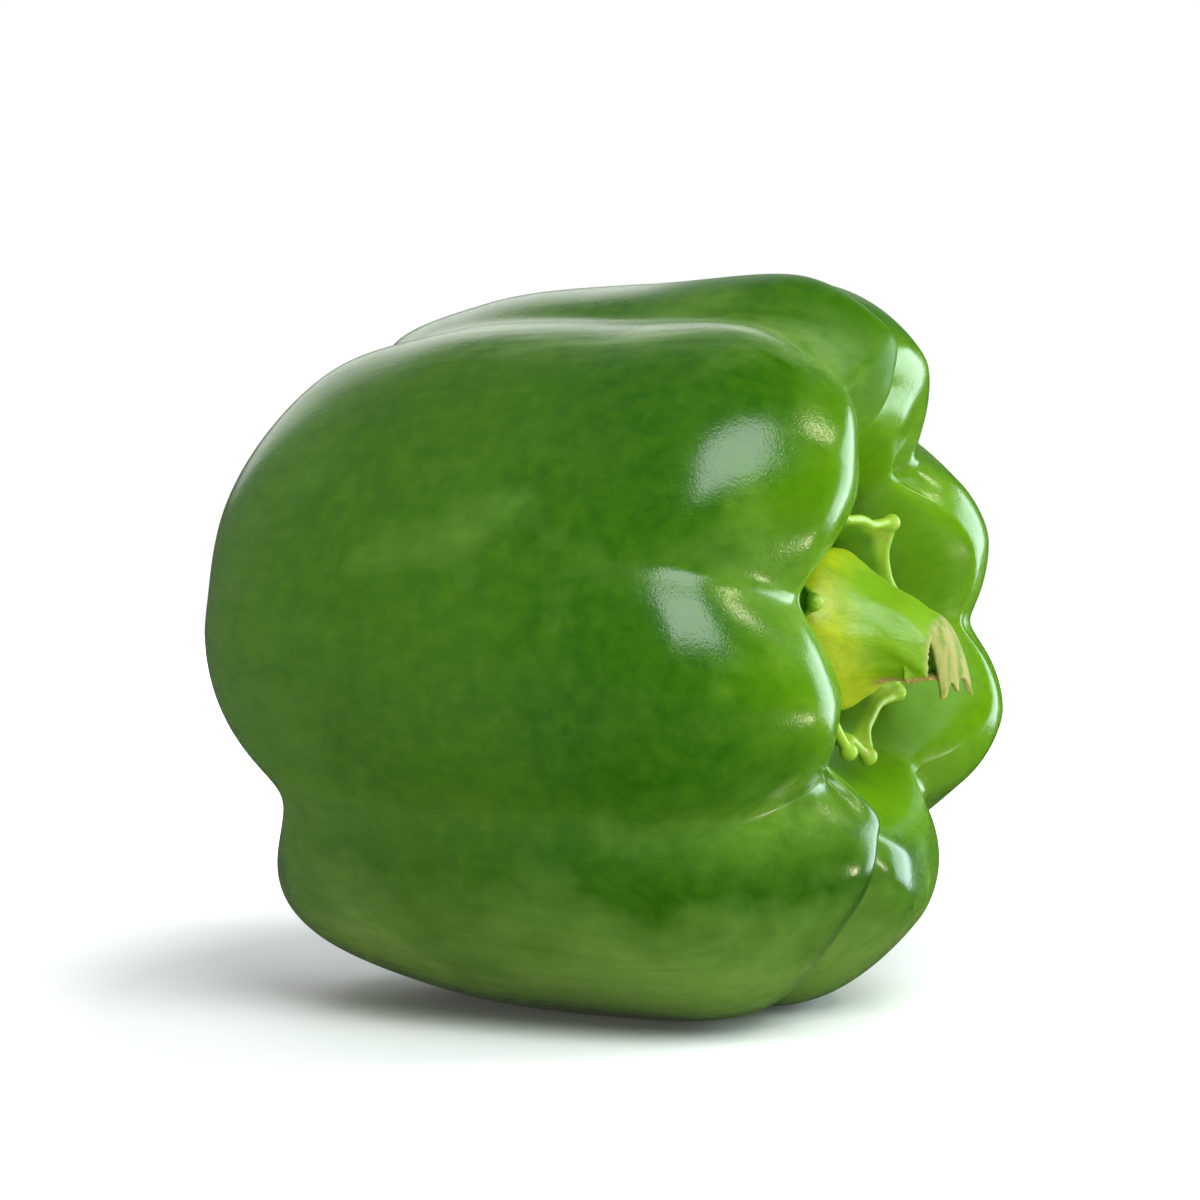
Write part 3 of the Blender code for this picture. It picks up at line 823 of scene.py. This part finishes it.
def skin_material(colours):
    """Waxy skin: greens by place, streaks along the fruit, mottling, waxy bloom with a painted reflection
    haze, painted shade on the low knuckle and deep in the cavity, painted highlights in the creases and
    beside the top crease, painted floor light underneath, and pores.
    """
    nodes = Nodes("waxy_green_skin")
    zones = {name: nodes.attribute(name) for name in SKIN_ZONES}
    blotches = nodes.noise(*BLOTCHES)
    mottle = nodes.noise(*MOTTLE)
    streaks = nodes.noise(*SKIN_STREAKS)
    bands = nodes.noise(*BANDS)
    wander = nodes.sway(blotches, BLOTCH_SWAY)
    drifted = nodes.plus(zones["along"], nodes.plus(wander, nodes.sway(bands, BAND_SWAY)))
    toward_stem = nodes.spread(nodes.plus(zones["stem_end"], wander), *TO_FRESH)
    greens = nodes.mix(toward_stem, colours.deep_green, colours.fresh_green)
    greens = nodes.mix(nodes.spread(drifted, *TO_MIDDLE), greens, colours.mid_green)
    # Paler toward the blossom end: waxy bloom, and a painted reflection haze
    greens = nodes.mix(nodes.spread(drifted, *TO_BLOOM_AND_REFLECTION), greens, colours.bloom_and_reflection)
    # Painted shade: the low knuckle is darkened
    greens = nodes.mix(nodes.spread(zones["low_knuckle"], *TO_KNUCKLE_SHADE), greens, colours.knuckle_shade)
    greens = nodes.mix(nodes.spread(zones["dull"], *TO_PATCH), greens, colours.deep_green)
    # Painted highlight: pale streaks in the creases
    crease_highlights = nodes.times(nodes.spread(zones["crease"], *TO_CREASE_HIGHLIGHT), nodes.spread(bands, *CREASE_HIGHLIGHT_STREAKS))
    greens = nodes.mix(crease_highlights, greens, colours.crease_highlight)
    # Painted highlight: pale wisps beside the top crease
    wisps = nodes.times(zones["sheen"], nodes.spread(bands, *TO_SHEEN))
    greens = nodes.mix(wisps, greens, colours.sheen)
    greens = nodes.mix(zones["cavity"], greens, colours.cavity_green)
    # Painted shade: darker deep in the stem cavity
    greens = nodes.mix(nodes.spread(zones["hollow"], *TO_CAVITY_SHADE), greens, colours.deep_green)
    # Painted floor light: paler skin underneath
    floor_light_share = nodes.plus(zones["under"], nodes.times(wander, FLOOR_LIGHT_SWAY))
    greens = nodes.mix(nodes.spread(floor_light_share, *TO_FLOOR_LIGHT), greens, colours.floor_light)
    greens = nodes.mix(nodes.spread(mottle, *TO_MOTTLE), greens, colours.fresh_green)
    greens = nodes.mix(nodes.spread(streaks, *TO_STREAKS), greens, colours.deep_green)
    nodes.join(greens, nodes.shader.inputs["Base Color"])
    gloss = nodes.spread(nodes.plus(mottle, blotches), *SKIN_GLOSS)
    dullness = nodes.plus(nodes.times(zones["cavity"], CAVITY_DULL), zones["dull"])
    roughness = nodes.plus(gloss, nodes.times(dullness, DULL_ROUGHNESS))
    nodes.join(roughness, nodes.shader.inputs["Roughness"])
    nodes.join(nodes.spread(dullness, *DULL_LEVEL), nodes.shader.inputs["Specular IOR Level"])
    pores = nodes.bump(nodes.spread(nodes.cells(PORE_SCALE), *PORES), *PORE_BUMP)
    pebbles = nodes.bump(nodes.noise(*PEBBLES), *PEBBLE_BUMP, pores)
    nodes.join(nodes.bump(streaks, *STREAK_BUMP, pebbles), nodes.shader.inputs["Normal"])
    nodes.shine(ior=1.38, subsurface_weight=0.08, subsurface_scale=0.004)
    nodes.glow_through(SKIN_GLOW)
    return nodes.material


def calyx_material(colours):
    """Calyx: green cup with a paler yellowish rim, and a little brown on its edges."""
    nodes = Nodes("calyx_green")
    rim = nodes.attribute("rim")
    speckle = nodes.noise(*CALYX_SPECKLE)
    patches = nodes.spread(nodes.noise(*CALYX_PATCHES), *TO_STEM_PATCHES)
    greens = nodes.mix(patches, colours.calyx_green, colours.stem_green)
    greens = nodes.mix(nodes.spread(rim, *TO_RIM), greens, colours.calyx_rim)
    browned = nodes.times(nodes.spread(speckle, *BROWN_SPECKLE), nodes.spread(rim, *BROWN_RIM))
    greens = nodes.mix(browned, greens, colours.dry_brown)
    nodes.join(greens, nodes.shader.inputs["Base Color"])
    nodes.join(nodes.spread(speckle, *CALYX_GLOSS), nodes.shader.inputs["Roughness"])
    nodes.join(nodes.bump(speckle, *CALYX_BUMP), nodes.shader.inputs["Normal"])
    nodes.shine(specular_ior_level=0.30, subsurface_weight=0.12, subsurface_scale=0.003)
    nodes.glow_through(CALYX_GLOW)
    return nodes.material


def stem_material(colours):
    """Stem: yellow-green with fine lengthwise streaks, straw and brown where it is dry or torn."""
    nodes = Nodes("stem_green")
    dry = nodes.attribute("dry")
    torn = nodes.attribute("torn")
    streaks = nodes.noise(*STEM_STREAKS)
    patches = nodes.noise(*STEM_PATCHES)
    specks = nodes.noise(*STEM_SPECKS)
    foot = nodes.plus(nodes.attribute("foot"), nodes.sway(patches, 1.0))
    greens = nodes.mix(nodes.spread(foot, *TO_FOOT), colours.stem_green, colours.stem_yellow)
    greens = nodes.mix(nodes.spread(streaks, *TO_STEM_STREAKS), greens, colours.calyx_green)
    ragged = nodes.plus(dry, nodes.sway(patches, STRAW_SWAY))
    greens = nodes.mix(nodes.spread(ragged, *TO_STRAW), greens, colours.straw)
    creases = nodes.spread(nodes.noise(*FLAP_CREASES), *TO_CREASES)
    greens = nodes.mix(nodes.times(creases, dry), greens, colours.calyx_green)
    browning = nodes.times(nodes.spread(specks, *BROWN_SPECKS), nodes.spread(dry, *BROWN_FLAP))
    greens = nodes.mix(browning, greens, colours.dry_brown)
    edge = nodes.times(torn, nodes.spread(specks, *TORN_SPECKS))
    greens = nodes.mix(edge, greens, colours.dry_brown)
    nodes.join(greens, nodes.shader.inputs["Base Color"])
    nodes.join(nodes.spread(ragged, *STEM_GLOSS), nodes.shader.inputs["Roughness"])
    lines = nodes.bump(streaks, *STEM_LINE_BUMP)
    nodes.join(nodes.bump(specks, *STEM_SPECK_BUMP, lines), nodes.shader.inputs["Normal"])
    nodes.shine(specular_ior_level=0.30, subsurface_weight=0.12, subsurface_scale=0.003)
    nodes.glow_through(STEM_GLOW)
    return nodes.material


def scar_material(colours):
    """Blossom scar: dry brown with a pale, corky grain."""
    nodes = Nodes("dry_scar")
    grain = nodes.noise(*SCAR_GRAIN)
    browns = nodes.mix(nodes.spread(grain, *TO_CORK), colours.dry_brown, colours.straw)
    nodes.join(browns, nodes.shader.inputs["Base Color"])
    nodes.join(nodes.spread(grain, *SCAR_GLOSS), nodes.shader.inputs["Roughness"])
    nodes.join(nodes.bump(grain, *SCAR_BUMP), nodes.shader.inputs["Normal"])
    return nodes.material


def floor_material(colours):
    """Floor: plain pale matt paper that glows as a painted light, less near the pepper as a painted shadow.
    """
    nodes = Nodes("pale_floor")
    nodes.shader.inputs["Base Color"].default_value = colours.floor
    nodes.shader.inputs["Emission Color"].default_value = (*WHITE, 1.0)
    nodes.shine(roughness=0.9, specular_ior_level=0.0)
    distance = nodes.add("ShaderNodeVectorMath", operation="LENGTH")
    nodes.join(nodes.place(), distance.inputs[0])
    # Painted light: the floor glows, less near the pepper, which paints a shadow round it
    glow = nodes.spread(distance.outputs["Value"], *FLOOR_GLOW)
    nodes.join(glow, nodes.shader.inputs["Emission Strength"])
    return nodes.material


def skin_zones(place, angle, depth, along, height):
    """How much of each zone a point of the skin has, in the order of SKIN_ZONES."""
    deep = near(angle, DEEP_KNUCKLE, DEEP_TURN)
    stem_end = ease(*STEM_END_PLACES, place) * (1.0 - DEEP_SHARE * deep)
    low_knuckle = deep * zone(place, *KNUCKLE_PLACES)
    crease = min(depth / FULL_CREASE, 1.0)
    cavity = ease(*CAVITY_PLACES, place)
    hollow = ease(*CAVITY_SHADE_PLACES, place)
    under = 1.0 - ease(*UNDER_HEIGHTS, height)
    sheen = near(angle, SHEEN_ANGLE, SHEEN_TURN) * zone(place, *SHEEN_PLACES)
    flank = near(angle, DULL_ANGLE, DULL_TURN) * ease(*DULL_PLACES, place)
    patch = near(angle, PATCH_ANGLE, PATCH_TURN, 4) * zone(place, *PATCH_PLACES)
    reached = along / SHOULDER_REACH
    return stem_end, low_knuckle, crease, cavity, hollow, reached, under, sheen, max(flank, patch)


class PEPPER_OT_fruit_skin(bpy.types.Operator):
    """Build the fine skin of the fruit over its solid"""

    bl_idname = "pepper.fruit_skin"
    bl_label = "Fruit Skin"

    def execute(self, context):
        sizes = context.scene.pepper_sizes
        rings = sizes.fruit_rings
        fruit = bmesh.new()
        bmesh.ops.create_uvsphere(fruit, u_segments=sizes.fruit_columns, v_segments=rings, radius=1.0)
        layers = [fruit.verts.layers.float.new(name) for name in SKIN_ZONES]
        origin = axis_origin()
        for vert in fruit.verts:
            from_blossom = math.acos(max(-1.0, min(1.0, -vert.co.z))) / math.pi
            place = LAST_PLACE * round(from_blossom * rings) / rings
            angle = round(math.degrees(math.atan2(vert.co.y, vert.co.x)), 4) % 360.0
            point, depth = fruit_point(place, angle)
            dent = sizes.waviness * noise.noise(point / sizes.dent_size)
            spread = ease(*DENT_PLACES, place) * ease(*DENT_PLACES, LAST_PLACE - place)
            outward = Vector((0.0, point.y, point.z)).normalized()
            vert.co = origin + point + outward * dent * spread
            for layer, share in zip(layers, skin_zones(place, angle, depth, point.x, vert.co.z)):
                vert[layer] = share
        everything = fruit.verts[:] + fruit.edges[:] + fruit.faces[:]
        cut = bmesh.ops.bisect_plane(
            fruit, geom=everything, dist=MERGE, plane_co=(0.0, 0.0, 0.0), plane_no=(0.0, 0.0, -1.0),
            clear_outer=True,
        )
        rim = [item for item in cut["geom_cut"] if isinstance(item, bmesh.types.BMEdge)]
        bmesh.ops.holes_fill(fruit, edges=rim, sides=0)
        bmesh.ops.recalc_face_normals(fruit, faces=fruit.faces)
        skin = new_object("fruit_skin", fruit, skin_material(context.scene.pepper_colours))
        finish_piece(skin, "fruit")
        return {"FINISHED"}


class PEPPER_OT_blossom_scar(bpy.types.Operator):
    """Build the small dry scar in the dimple of the blossom end"""

    bl_idname = "pepper.blossom_scar"
    bl_label = "Blossom Scar"

    def execute(self, context):
        radius = context.scene.pepper_sizes.scar_radius
        scar = bmesh.new()
        bmesh.ops.create_uvsphere(scar, u_segments=40, v_segments=24, radius=1.0)
        centre = axis_origin() + fruit_point(0.0, 0.0)[0]
        for vert in scar.verts:
            ragged = 1.0 + SCAR_RAGGED * noise.noise(vert.co * SCAR_WAVES)
            flat = Vector((vert.co.z * SCAR_FLAT, vert.co.y * ragged, vert.co.x * ragged)) * radius
            vert.co = centre + flat
        bmesh.ops.recalc_face_normals(scar, faces=scar.faces)
        piece = new_object("blossom_scar", scar, scar_material(context.scene.pepper_colours))
        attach(piece, "root")
        return {"FINISHED"}


def rim_form(angle):
    """How far the calyx's rim is drawn out, raised by a tooth, and dipped, at an angle."""
    reach = 0.0
    rise = 0.0
    for tooth in TEETH:
        share = near(angle, tooth.angle, TOOTH_WIDTH)
        reach = max(reach, tooth.reach * share)
        rise = max(rise, tooth.rise * share)
    dip = near(angle, DIP_ANGLE, DIP_TURN, 4)
    return reach, rise, dip


def rim_point(height, angle, radius, share):
    """Point of the calyx after its rim is drawn into teeth and dipped; share is 1 on the rim."""
    reach, rise, dip = rim_form(angle)
    above = max(height - CUP_FLOOR, 0.0) / (RIM_HEIGHT - CUP_FLOOR)
    height += rise * share - DIP_DROP * dip * min(above, 1.0)
    radius += (reach - DIP_TUCK * dip) * share
    return cavity_point(height, angle, radius)


def draw_out(shape):
    """Carry a shape turned about Z onto the calyx's place, its rim drawn out into teeth."""
    for vert in shape.verts:
        radius = math.hypot(vert.co.x, vert.co.y)
        angle = math.degrees(math.atan2(vert.co.y, vert.co.x))
        share = min(max((radius - TOOTH_START) / (RIM_RADIUS - TOOTH_START), 0.0), 1.0)
        share *= min(vert.co.z / RIM_HEIGHT, 1.0)
        vert.co = rim_point(vert.co.z, angle, radius, share)


def spun(profile, closed):
    """Shape turned about Z from a profile of (height, radius) points."""
    shape = bmesh.new()
    verts = [shape.verts.new((radius, 0.0, height)) for height, radius in profile]
    ends = verts[1:] + verts[:1] if closed else verts[1:]
    edges = [shape.edges.new(pair) for pair in zip(verts, ends)]
    bmesh.ops.spin(
        shape, geom=verts + edges, axis=(0.0, 0.0, 1.0), cent=(0.0, 0.0, 0.0), angle=math.tau,
        steps=CALYX_COLUMNS, use_merge=True,
    )
    bmesh.ops.remove_doubles(shape, verts=shape.verts, dist=MERGE)
    bmesh.ops.recalc_face_normals(shape, faces=shape.faces)
    return shape


class PEPPER_OT_calyx(bpy.types.Operator):
    """Build the calyx: a cup with a rounded rim, teeth and knobs"""

    bl_idname = "pepper.calyx"
    bl_label = "Calyx"

    def execute(self, context):
        sizes = context.scene.pepper_sizes
        cup = spun(CALYX_OUTSIDE + CALYX_INSIDE, False)
        draw_out(cup)
        thick = sizes.rim_thickness
        tilts = [math.tau * step / RIM_STEPS for step in range(RIM_STEPS)]
        band = [(RIM_HEIGHT + thick * math.sin(tilt), RIM_RADIUS + thick * math.cos(tilt)) for tilt in tilts]
        rim = spun(band, True)
        draw_out(rim)
        shapes = [cup, rim]
        for tooth in TEETH:
            knob = bmesh.new()
            bmesh.ops.create_icosphere(knob, subdivisions=4, radius=sizes.knob_radius)
            centre = rim_point(RIM_HEIGHT, tooth.angle, RIM_RADIUS, 1.0)
            bmesh.ops.translate(knob, verts=knob.verts, vec=centre)
            shapes.append(knob)
        material = calyx_material(context.scene.pepper_colours)
        calyx = melt_together("calyx_cup", shapes, CALYX_VOXEL, CALYX_SMOOTHING, material)
        foot = cavity_point(0.0, 0.0, 0.0)
        rims = []
        for vert in calyx.data.vertices:
            arm = vert.co - foot
            radius = math.hypot(arm.y, arm.z)
            rims.append(ease(*RIM_HEIGHTS, arm.x) * ease(*RIM_RADII, radius))
        add_attribute(calyx.data, "rim", rims)
        finish_piece(calyx, "calyx")
        return {"FINISHED"}


def stem_state(share):
    """Height over the cavity floor, upward shift and radius of the stem, foot 0 to torn end 1."""
    stops = range(len(STEM_COURSE))
    place = share * (len(STEM_COURSE) - 1)
    ends = []
    for column in zip(*STEM_COURSE):
        slopes = (column[1] - column[0], column[-1] - column[-2])
        ends.append(smooth_value(stops, column, place, slopes))
    return ends


def tear_height(height, side, teeth):
    """Upward shift of the torn underside at a height over the floor, with its ragged teeth."""
    stops = [stop for stop, _ in TEAR_LINE]
    line = smooth_value(stops, [shift for _, shift in TEAR_LINE], height)
    coarse = noise.noise(Vector((height, side, 0.0)) * TEAR_WAVES)
    fine = noise.noise(Vector((height, side, 1.0)) * FINE_TEAR_WAVES)
    return line + teeth * (coarse + 0.5 * fine)


def rib_height(angle):
    """Share of a full rib at an angle round the stem."""
    total = 0.0
    for centre, size in STEM_RIBS:
        total += size * near(angle, centre, RIB_WIDTH)
    return total


def build_stem_tube(sizes):
    """A ribbed tube lofted along the stem's course, torn flat below and hollowed at its end."""
    tube = bmesh.new()
    bmesh.ops.create_cone(tube, cap_ends=False, segments=STEM_COLUMNS, radius1=1.0, radius2=1.0, depth=1.0)
    long_edges = [edge for edge in tube.edges if abs(edge.verts[0].co.z - edge.verts[1].co.z) > 0.5]
    bmesh.ops.subdivide_edges(tube, edges=long_edges, cuts=STEM_RINGS - 1, use_grid_fill=True)
    middle = cavity_point(0.0, 0.0, 0.0)
    for vert in tube.verts:
        share = round((vert.co.z + 0.5) * STEM_RINGS) / STEM_RINGS
        angle = math.degrees(math.atan2(vert.co.y, vert.co.x))
        height, shift, radius = stem_state(share)
        tilt = math.radians(angle)
        rib = rib_height(angle + RIB_WINDING * share) - RIB_MEAN
        radius += sizes.rib_depth * rib * (1.0 - RIB_FADING * share)
        waves = Vector((height * STEM_WAVES, math.cos(tilt) * 2.0, math.sin(tilt) * 2.0))
        radius += STEM_DENT * noise.noise(waves)
        side = -radius * math.cos(tilt)
        up = shift + radius * math.sin(tilt)
        if height > TEAR_LINE[0][0]:
            up = max(up, tear_height(height, side, sizes.tear_teeth))
        vert.co = middle + Vector((height, side, up))
    rims = [edge for edge in tube.edges if edge.is_boundary]
    caps = bmesh.ops.holes_fill(tube, edges=rims, sides=0)["faces"]
    end = max(caps, key=lambda face: face.calc_center_median().x)
    for step in range(HOLLOW_STEPS):
        bmesh.ops.inset_individual(tube, faces=[end], thickness=END_HOLLOW / HOLLOW_STEPS)
        sink = END_HOLLOW / (step + 1.0)
        bmesh.ops.translate(tube, verts=end.verts, vec=(-sink, 0.0, 0.0))
    bmesh.ops.recalc_face_normals(tube, faces=tube.faces)
    return tube


def build_flap(sizes):
    """The dry flap: a strip bent down over the torn end, notched at its tip, creased and thin."""
    flap = bmesh.new()
    bmesh.ops.create_grid(flap, x_segments=FLAP_GRID[0], y_segments=FLAP_GRID[1], size=0.5)
    stops = range(len(FLAP_COURSE))
    last = len(FLAP_COURSE) - 1
    heights = [point[0] for point in FLAP_COURSE]
    shifts = [point[1] for point in FLAP_COURSE]
    middle = cavity_point(0.0, 0.0, 0.0)
    for vert in flap.verts:
        share = vert.co.x + 0.5
        side = vert.co.y
        notch = FLAP_NOTCH * math.cos(side * math.tau * FLAP_TURN) ** 2
        ragged = FLAP_RAGGED * noise.noise(Vector((side * RAGGED_WAVES, 0.0, 5.0)))
        share -= (notch + ragged) * share
        width = smooth_value(stops, FLAP_WIDTHS, share * last)
        height = smooth_value(stops, heights, share * last, FLAP_HEIGHT_SLOPES)
        shift = smooth_value(stops, shifts, share * last, FLAP_SHIFT_SLOPES)
        bow = FLAP_SIDE * (2.0 * side) ** 2
        wave = Vector((side * CREASE_WAVES[0], share * CREASE_WAVES[1], 2.0))
        crease = FLAP_CREASE * share * noise.noise(wave)
        edge = FLAP_EDGE * noise.noise(Vector((share * EDGE_WAVES, 0.0, 8.0)))
        across = FLAP_SIDE - side * (width + edge)
        twist = FLAP_TWIST * share * (side + 0.5)
        vert.co = middle + Vector((height - bow - twist + crease, across, shift - bow))
    bmesh.ops.recalc_face_normals(flap, faces=flap.faces)
    bmesh.ops.solidify(flap, geom=flap.faces[:], thickness=sizes.flap_thickness)
    return flap


def torn_share(arm):
    """How torn the stem is at a point seen from its foot: along its ragged underside and the flap's tip."""
    over = arm.z - tear_height(arm.x, arm.y, 0.0)
    on_end = ease(*END_HEIGHTS, arm.x)
    edge = (1.0 - ease(*TORN_BAND, over)) * ease(*TORN_HEIGHTS, arm.x) * (1.0 - on_end)
    tip = TIP_TORN * (1.0 - ease(*TIP_SHIFTS, arm.z)) * on_end
    return max(edge, tip)


class PEPPER_OT_stem(bpy.types.Operator):
    """Build the torn stem with its ribs, hollow end and dry flap"""

    bl_idname = "pepper.stem"
    bl_label = "Stem"

    def execute(self, context):
        sizes = context.scene.pepper_sizes
        shapes = [build_stem_tube(sizes), build_flap(sizes)]
        material = stem_material(context.scene.pepper_colours)
        stem = melt_together("torn_stem", shapes, STEM_VOXEL, STEM_SMOOTHING, material)
        foot = cavity_point(0.0, 0.0, 0.0)
        arms = [vert.co - foot for vert in stem.data.vertices]
        torn = [torn_share(arm) for arm in arms]
        dry = [max(ease(*DRY_HEIGHTS, arm.x), TORN_DRY * share) for arm, share in zip(arms, torn)]
        feet = [1.0 - ease(*FOOT_HEIGHTS, arm.x + FOOT_SLANT * arm.z) for arm in arms]
        add_attribute(stem.data, "dry", dry)
        add_attribute(stem.data, "torn", torn)
        add_attribute(stem.data, "foot", feet)
        finish_piece(stem, "stem")
        return {"FINISHED"}


def power_property(name, description, default):
    """The power of a light in watts, which a user may change."""
    return FloatProperty(name=name, description=description, default=default, subtype="POWER")


class PepperStudio(bpy.types.PropertyGroup):
    """Strengths of the studio's lights, and the camera's distance."""

    window_strength: power_property("Window", "Power of the soft window light", 3.9)
    overhead_strength: power_property("Overhead", "Power of the overhead light", 4.2)
    back_strength: power_property("Back", "Power of the light behind at the left", 1.9)
    strip_strength: power_property("Strip", "Power of the tall light behind at the right", 6.4)
    fill_strength: power_property("Fill", "Power of the low light in front", 0.10)
    lamp_strength: power_property("Lamp", "Power of the small warm lamp", 0.40)
    room: FloatProperty(name="Room", description="Brightness of the room round the pepper", default=0.34)
    view_distance: length_property("Distance", "Distance of the camera", 0.6)


def face_pepper(thing, azimuth, elevation, distance):
    """Put a light or camera at an angle and a distance, looking at the pepper."""
    thing.location = around(azimuth, elevation, distance)
    thing.rotation_euler = (thing.location - axis_origin()).to_track_quat("Z", "Y").to_euler()
    bpy.context.scene.collection.objects.link(thing)


def add_light(kind, studio):
    """Add one of the soft lights, a rectangle that the camera doesn't see."""
    lamp = bpy.data.lights.new(kind.name, "AREA")
    lamp.shape = "RECTANGLE"
    lamp.size = kind.width
    lamp.size_y = kind.height
    lamp.energy = getattr(studio, kind.strength) * kind.share
    lamp.color = kind.colour
    light = bpy.data.objects.new(kind.name, lamp)
    light.visible_camera = False
    light.visible_glossy = kind.glossy
    face_pepper(light, kind.azimuth, kind.elevation, kind.distance)


def room_world(brightness):
    """Plain room: brighter at the left and behind, dim in front; pure white where the camera looks."""
    world = bpy.data.worlds.new("studio_room")
    world.use_nodes = True
    tree = world.node_tree
    background = tree.nodes["Background"]
    direction = tree.nodes.new("ShaderNodeTexCoord")
    toward = tree.nodes.new("ShaderNodeVectorMath")
    toward.operation = "DOT_PRODUCT"
    toward.inputs[1].default_value = ROOM_DIRECTION
    ramp = tree.nodes.new("ShaderNodeMapRange")
    set_range(ramp, *ROOM_RANGE)
    strength = tree.nodes.new("ShaderNodeMath")
    strength.operation = "MULTIPLY"
    strength.inputs[1].default_value = brightness
    seen = tree.nodes.new("ShaderNodeLightPath")
    white = tree.nodes.new("ShaderNodeMix")
    white.inputs["B"].default_value = 1.0
    tree.links.new(direction.outputs["Generated"], toward.inputs[0])
    tree.links.new(toward.outputs["Value"], ramp.inputs["Value"])
    tree.links.new(ramp.outputs["Result"], strength.inputs[0])
    tree.links.new(seen.outputs["Is Camera Ray"], white.inputs["Factor"])
    tree.links.new(strength.outputs["Value"], white.inputs["A"])
    tree.links.new(white.outputs["Result"], background.inputs["Strength"])
    background.inputs["Color"].default_value = (*WHITE, 1.0)
    bpy.context.scene.world = world


class PEPPER_OT_stage(bpy.types.Operator):
    """Set the floor, the lights and the camera at the photograph's angle"""

    bl_idname = "pepper.stage"
    bl_label = "Studio"

    def execute(self, context):
        studio = context.scene.pepper_studio
        floor = bmesh.new()
        bmesh.ops.create_circle(floor, cap_ends=True, segments=96, radius=FLOOR_RADIUS)
        paper = new_object("floor", floor, floor_material(context.scene.pepper_colours))
        paper.visible_glossy = False
        for kind in LIGHTS:
            add_light(kind, studio)
        room_world(studio.room)
        data = bpy.data.cameras.new("photo_view")
        data.sensor_width = SENSOR_MILLIMETRES
        data.lens = FOCAL_PIXELS * data.sensor_width / IMAGE_SIDE
        data.shift_x = (IMAGE_SIDE / 2.0 - AXIS_PIXEL[0]) / IMAGE_SIDE
        data.shift_y = (AXIS_PIXEL[1] - IMAGE_SIDE / 2.0) / IMAGE_SIDE
        data.clip_start = NEAR_CLIP
        camera = bpy.data.objects.new("photo_view", data)
        face_pepper(camera, VIEW_AZIMUTH, VIEW_ELEVATION, studio.view_distance)
        context.scene.camera = camera
        context.scene.view_settings.view_transform = "Standard"
        return {"FINISHED"}


class PEPPER_PT_panel(bpy.types.Panel):
    """Lists the pepper's pieces and its sizes and colours"""

    bl_idname = "PEPPER_PT_panel"
    bl_label = "Green Bell Pepper"
    bl_space_type = "VIEW_3D"
    bl_region_type = "UI"
    bl_category = "Pepper"

    def draw(self, context):
        for piece in OPERATORS:
            self.layout.operator(piece.bl_idname)
        for group in (context.scene.pepper_sizes, context.scene.pepper_colours, context.scene.pepper_studio):
            box = self.layout.box()
            for name in group.__annotations__:
                box.prop(group, name)


OPERATORS = (
    PEPPER_OT_fruit_skin,
    PEPPER_OT_blossom_scar,
    PEPPER_OT_calyx,
    PEPPER_OT_stem,
    PEPPER_OT_stage,
)
CLASSES = (PepperSizes, PepperColours, PepperStudio) + OPERATORS + (PEPPER_PT_panel,)


def register():
    for item in CLASSES:
        bpy.utils.register_class(item)
    bpy.types.Scene.pepper_sizes = PointerProperty(type=PepperSizes)
    bpy.types.Scene.pepper_colours = PointerProperty(type=PepperColours)
    bpy.types.Scene.pepper_studio = PointerProperty(type=PepperStudio)


def unregister():
    del bpy.types.Scene.pepper_studio
    del bpy.types.Scene.pepper_colours
    del bpy.types.Scene.pepper_sizes
    for item in reversed(CLASSES):
        bpy.utils.unregister_class(item)


def main():
    register()
    bpy.ops.pepper.fruit_skin()
    bpy.ops.pepper.blossom_scar()
    bpy.ops.pepper.calyx()
    bpy.ops.pepper.stem()
    bpy.ops.pepper.stage()


if __name__ == "__main__":
    main()
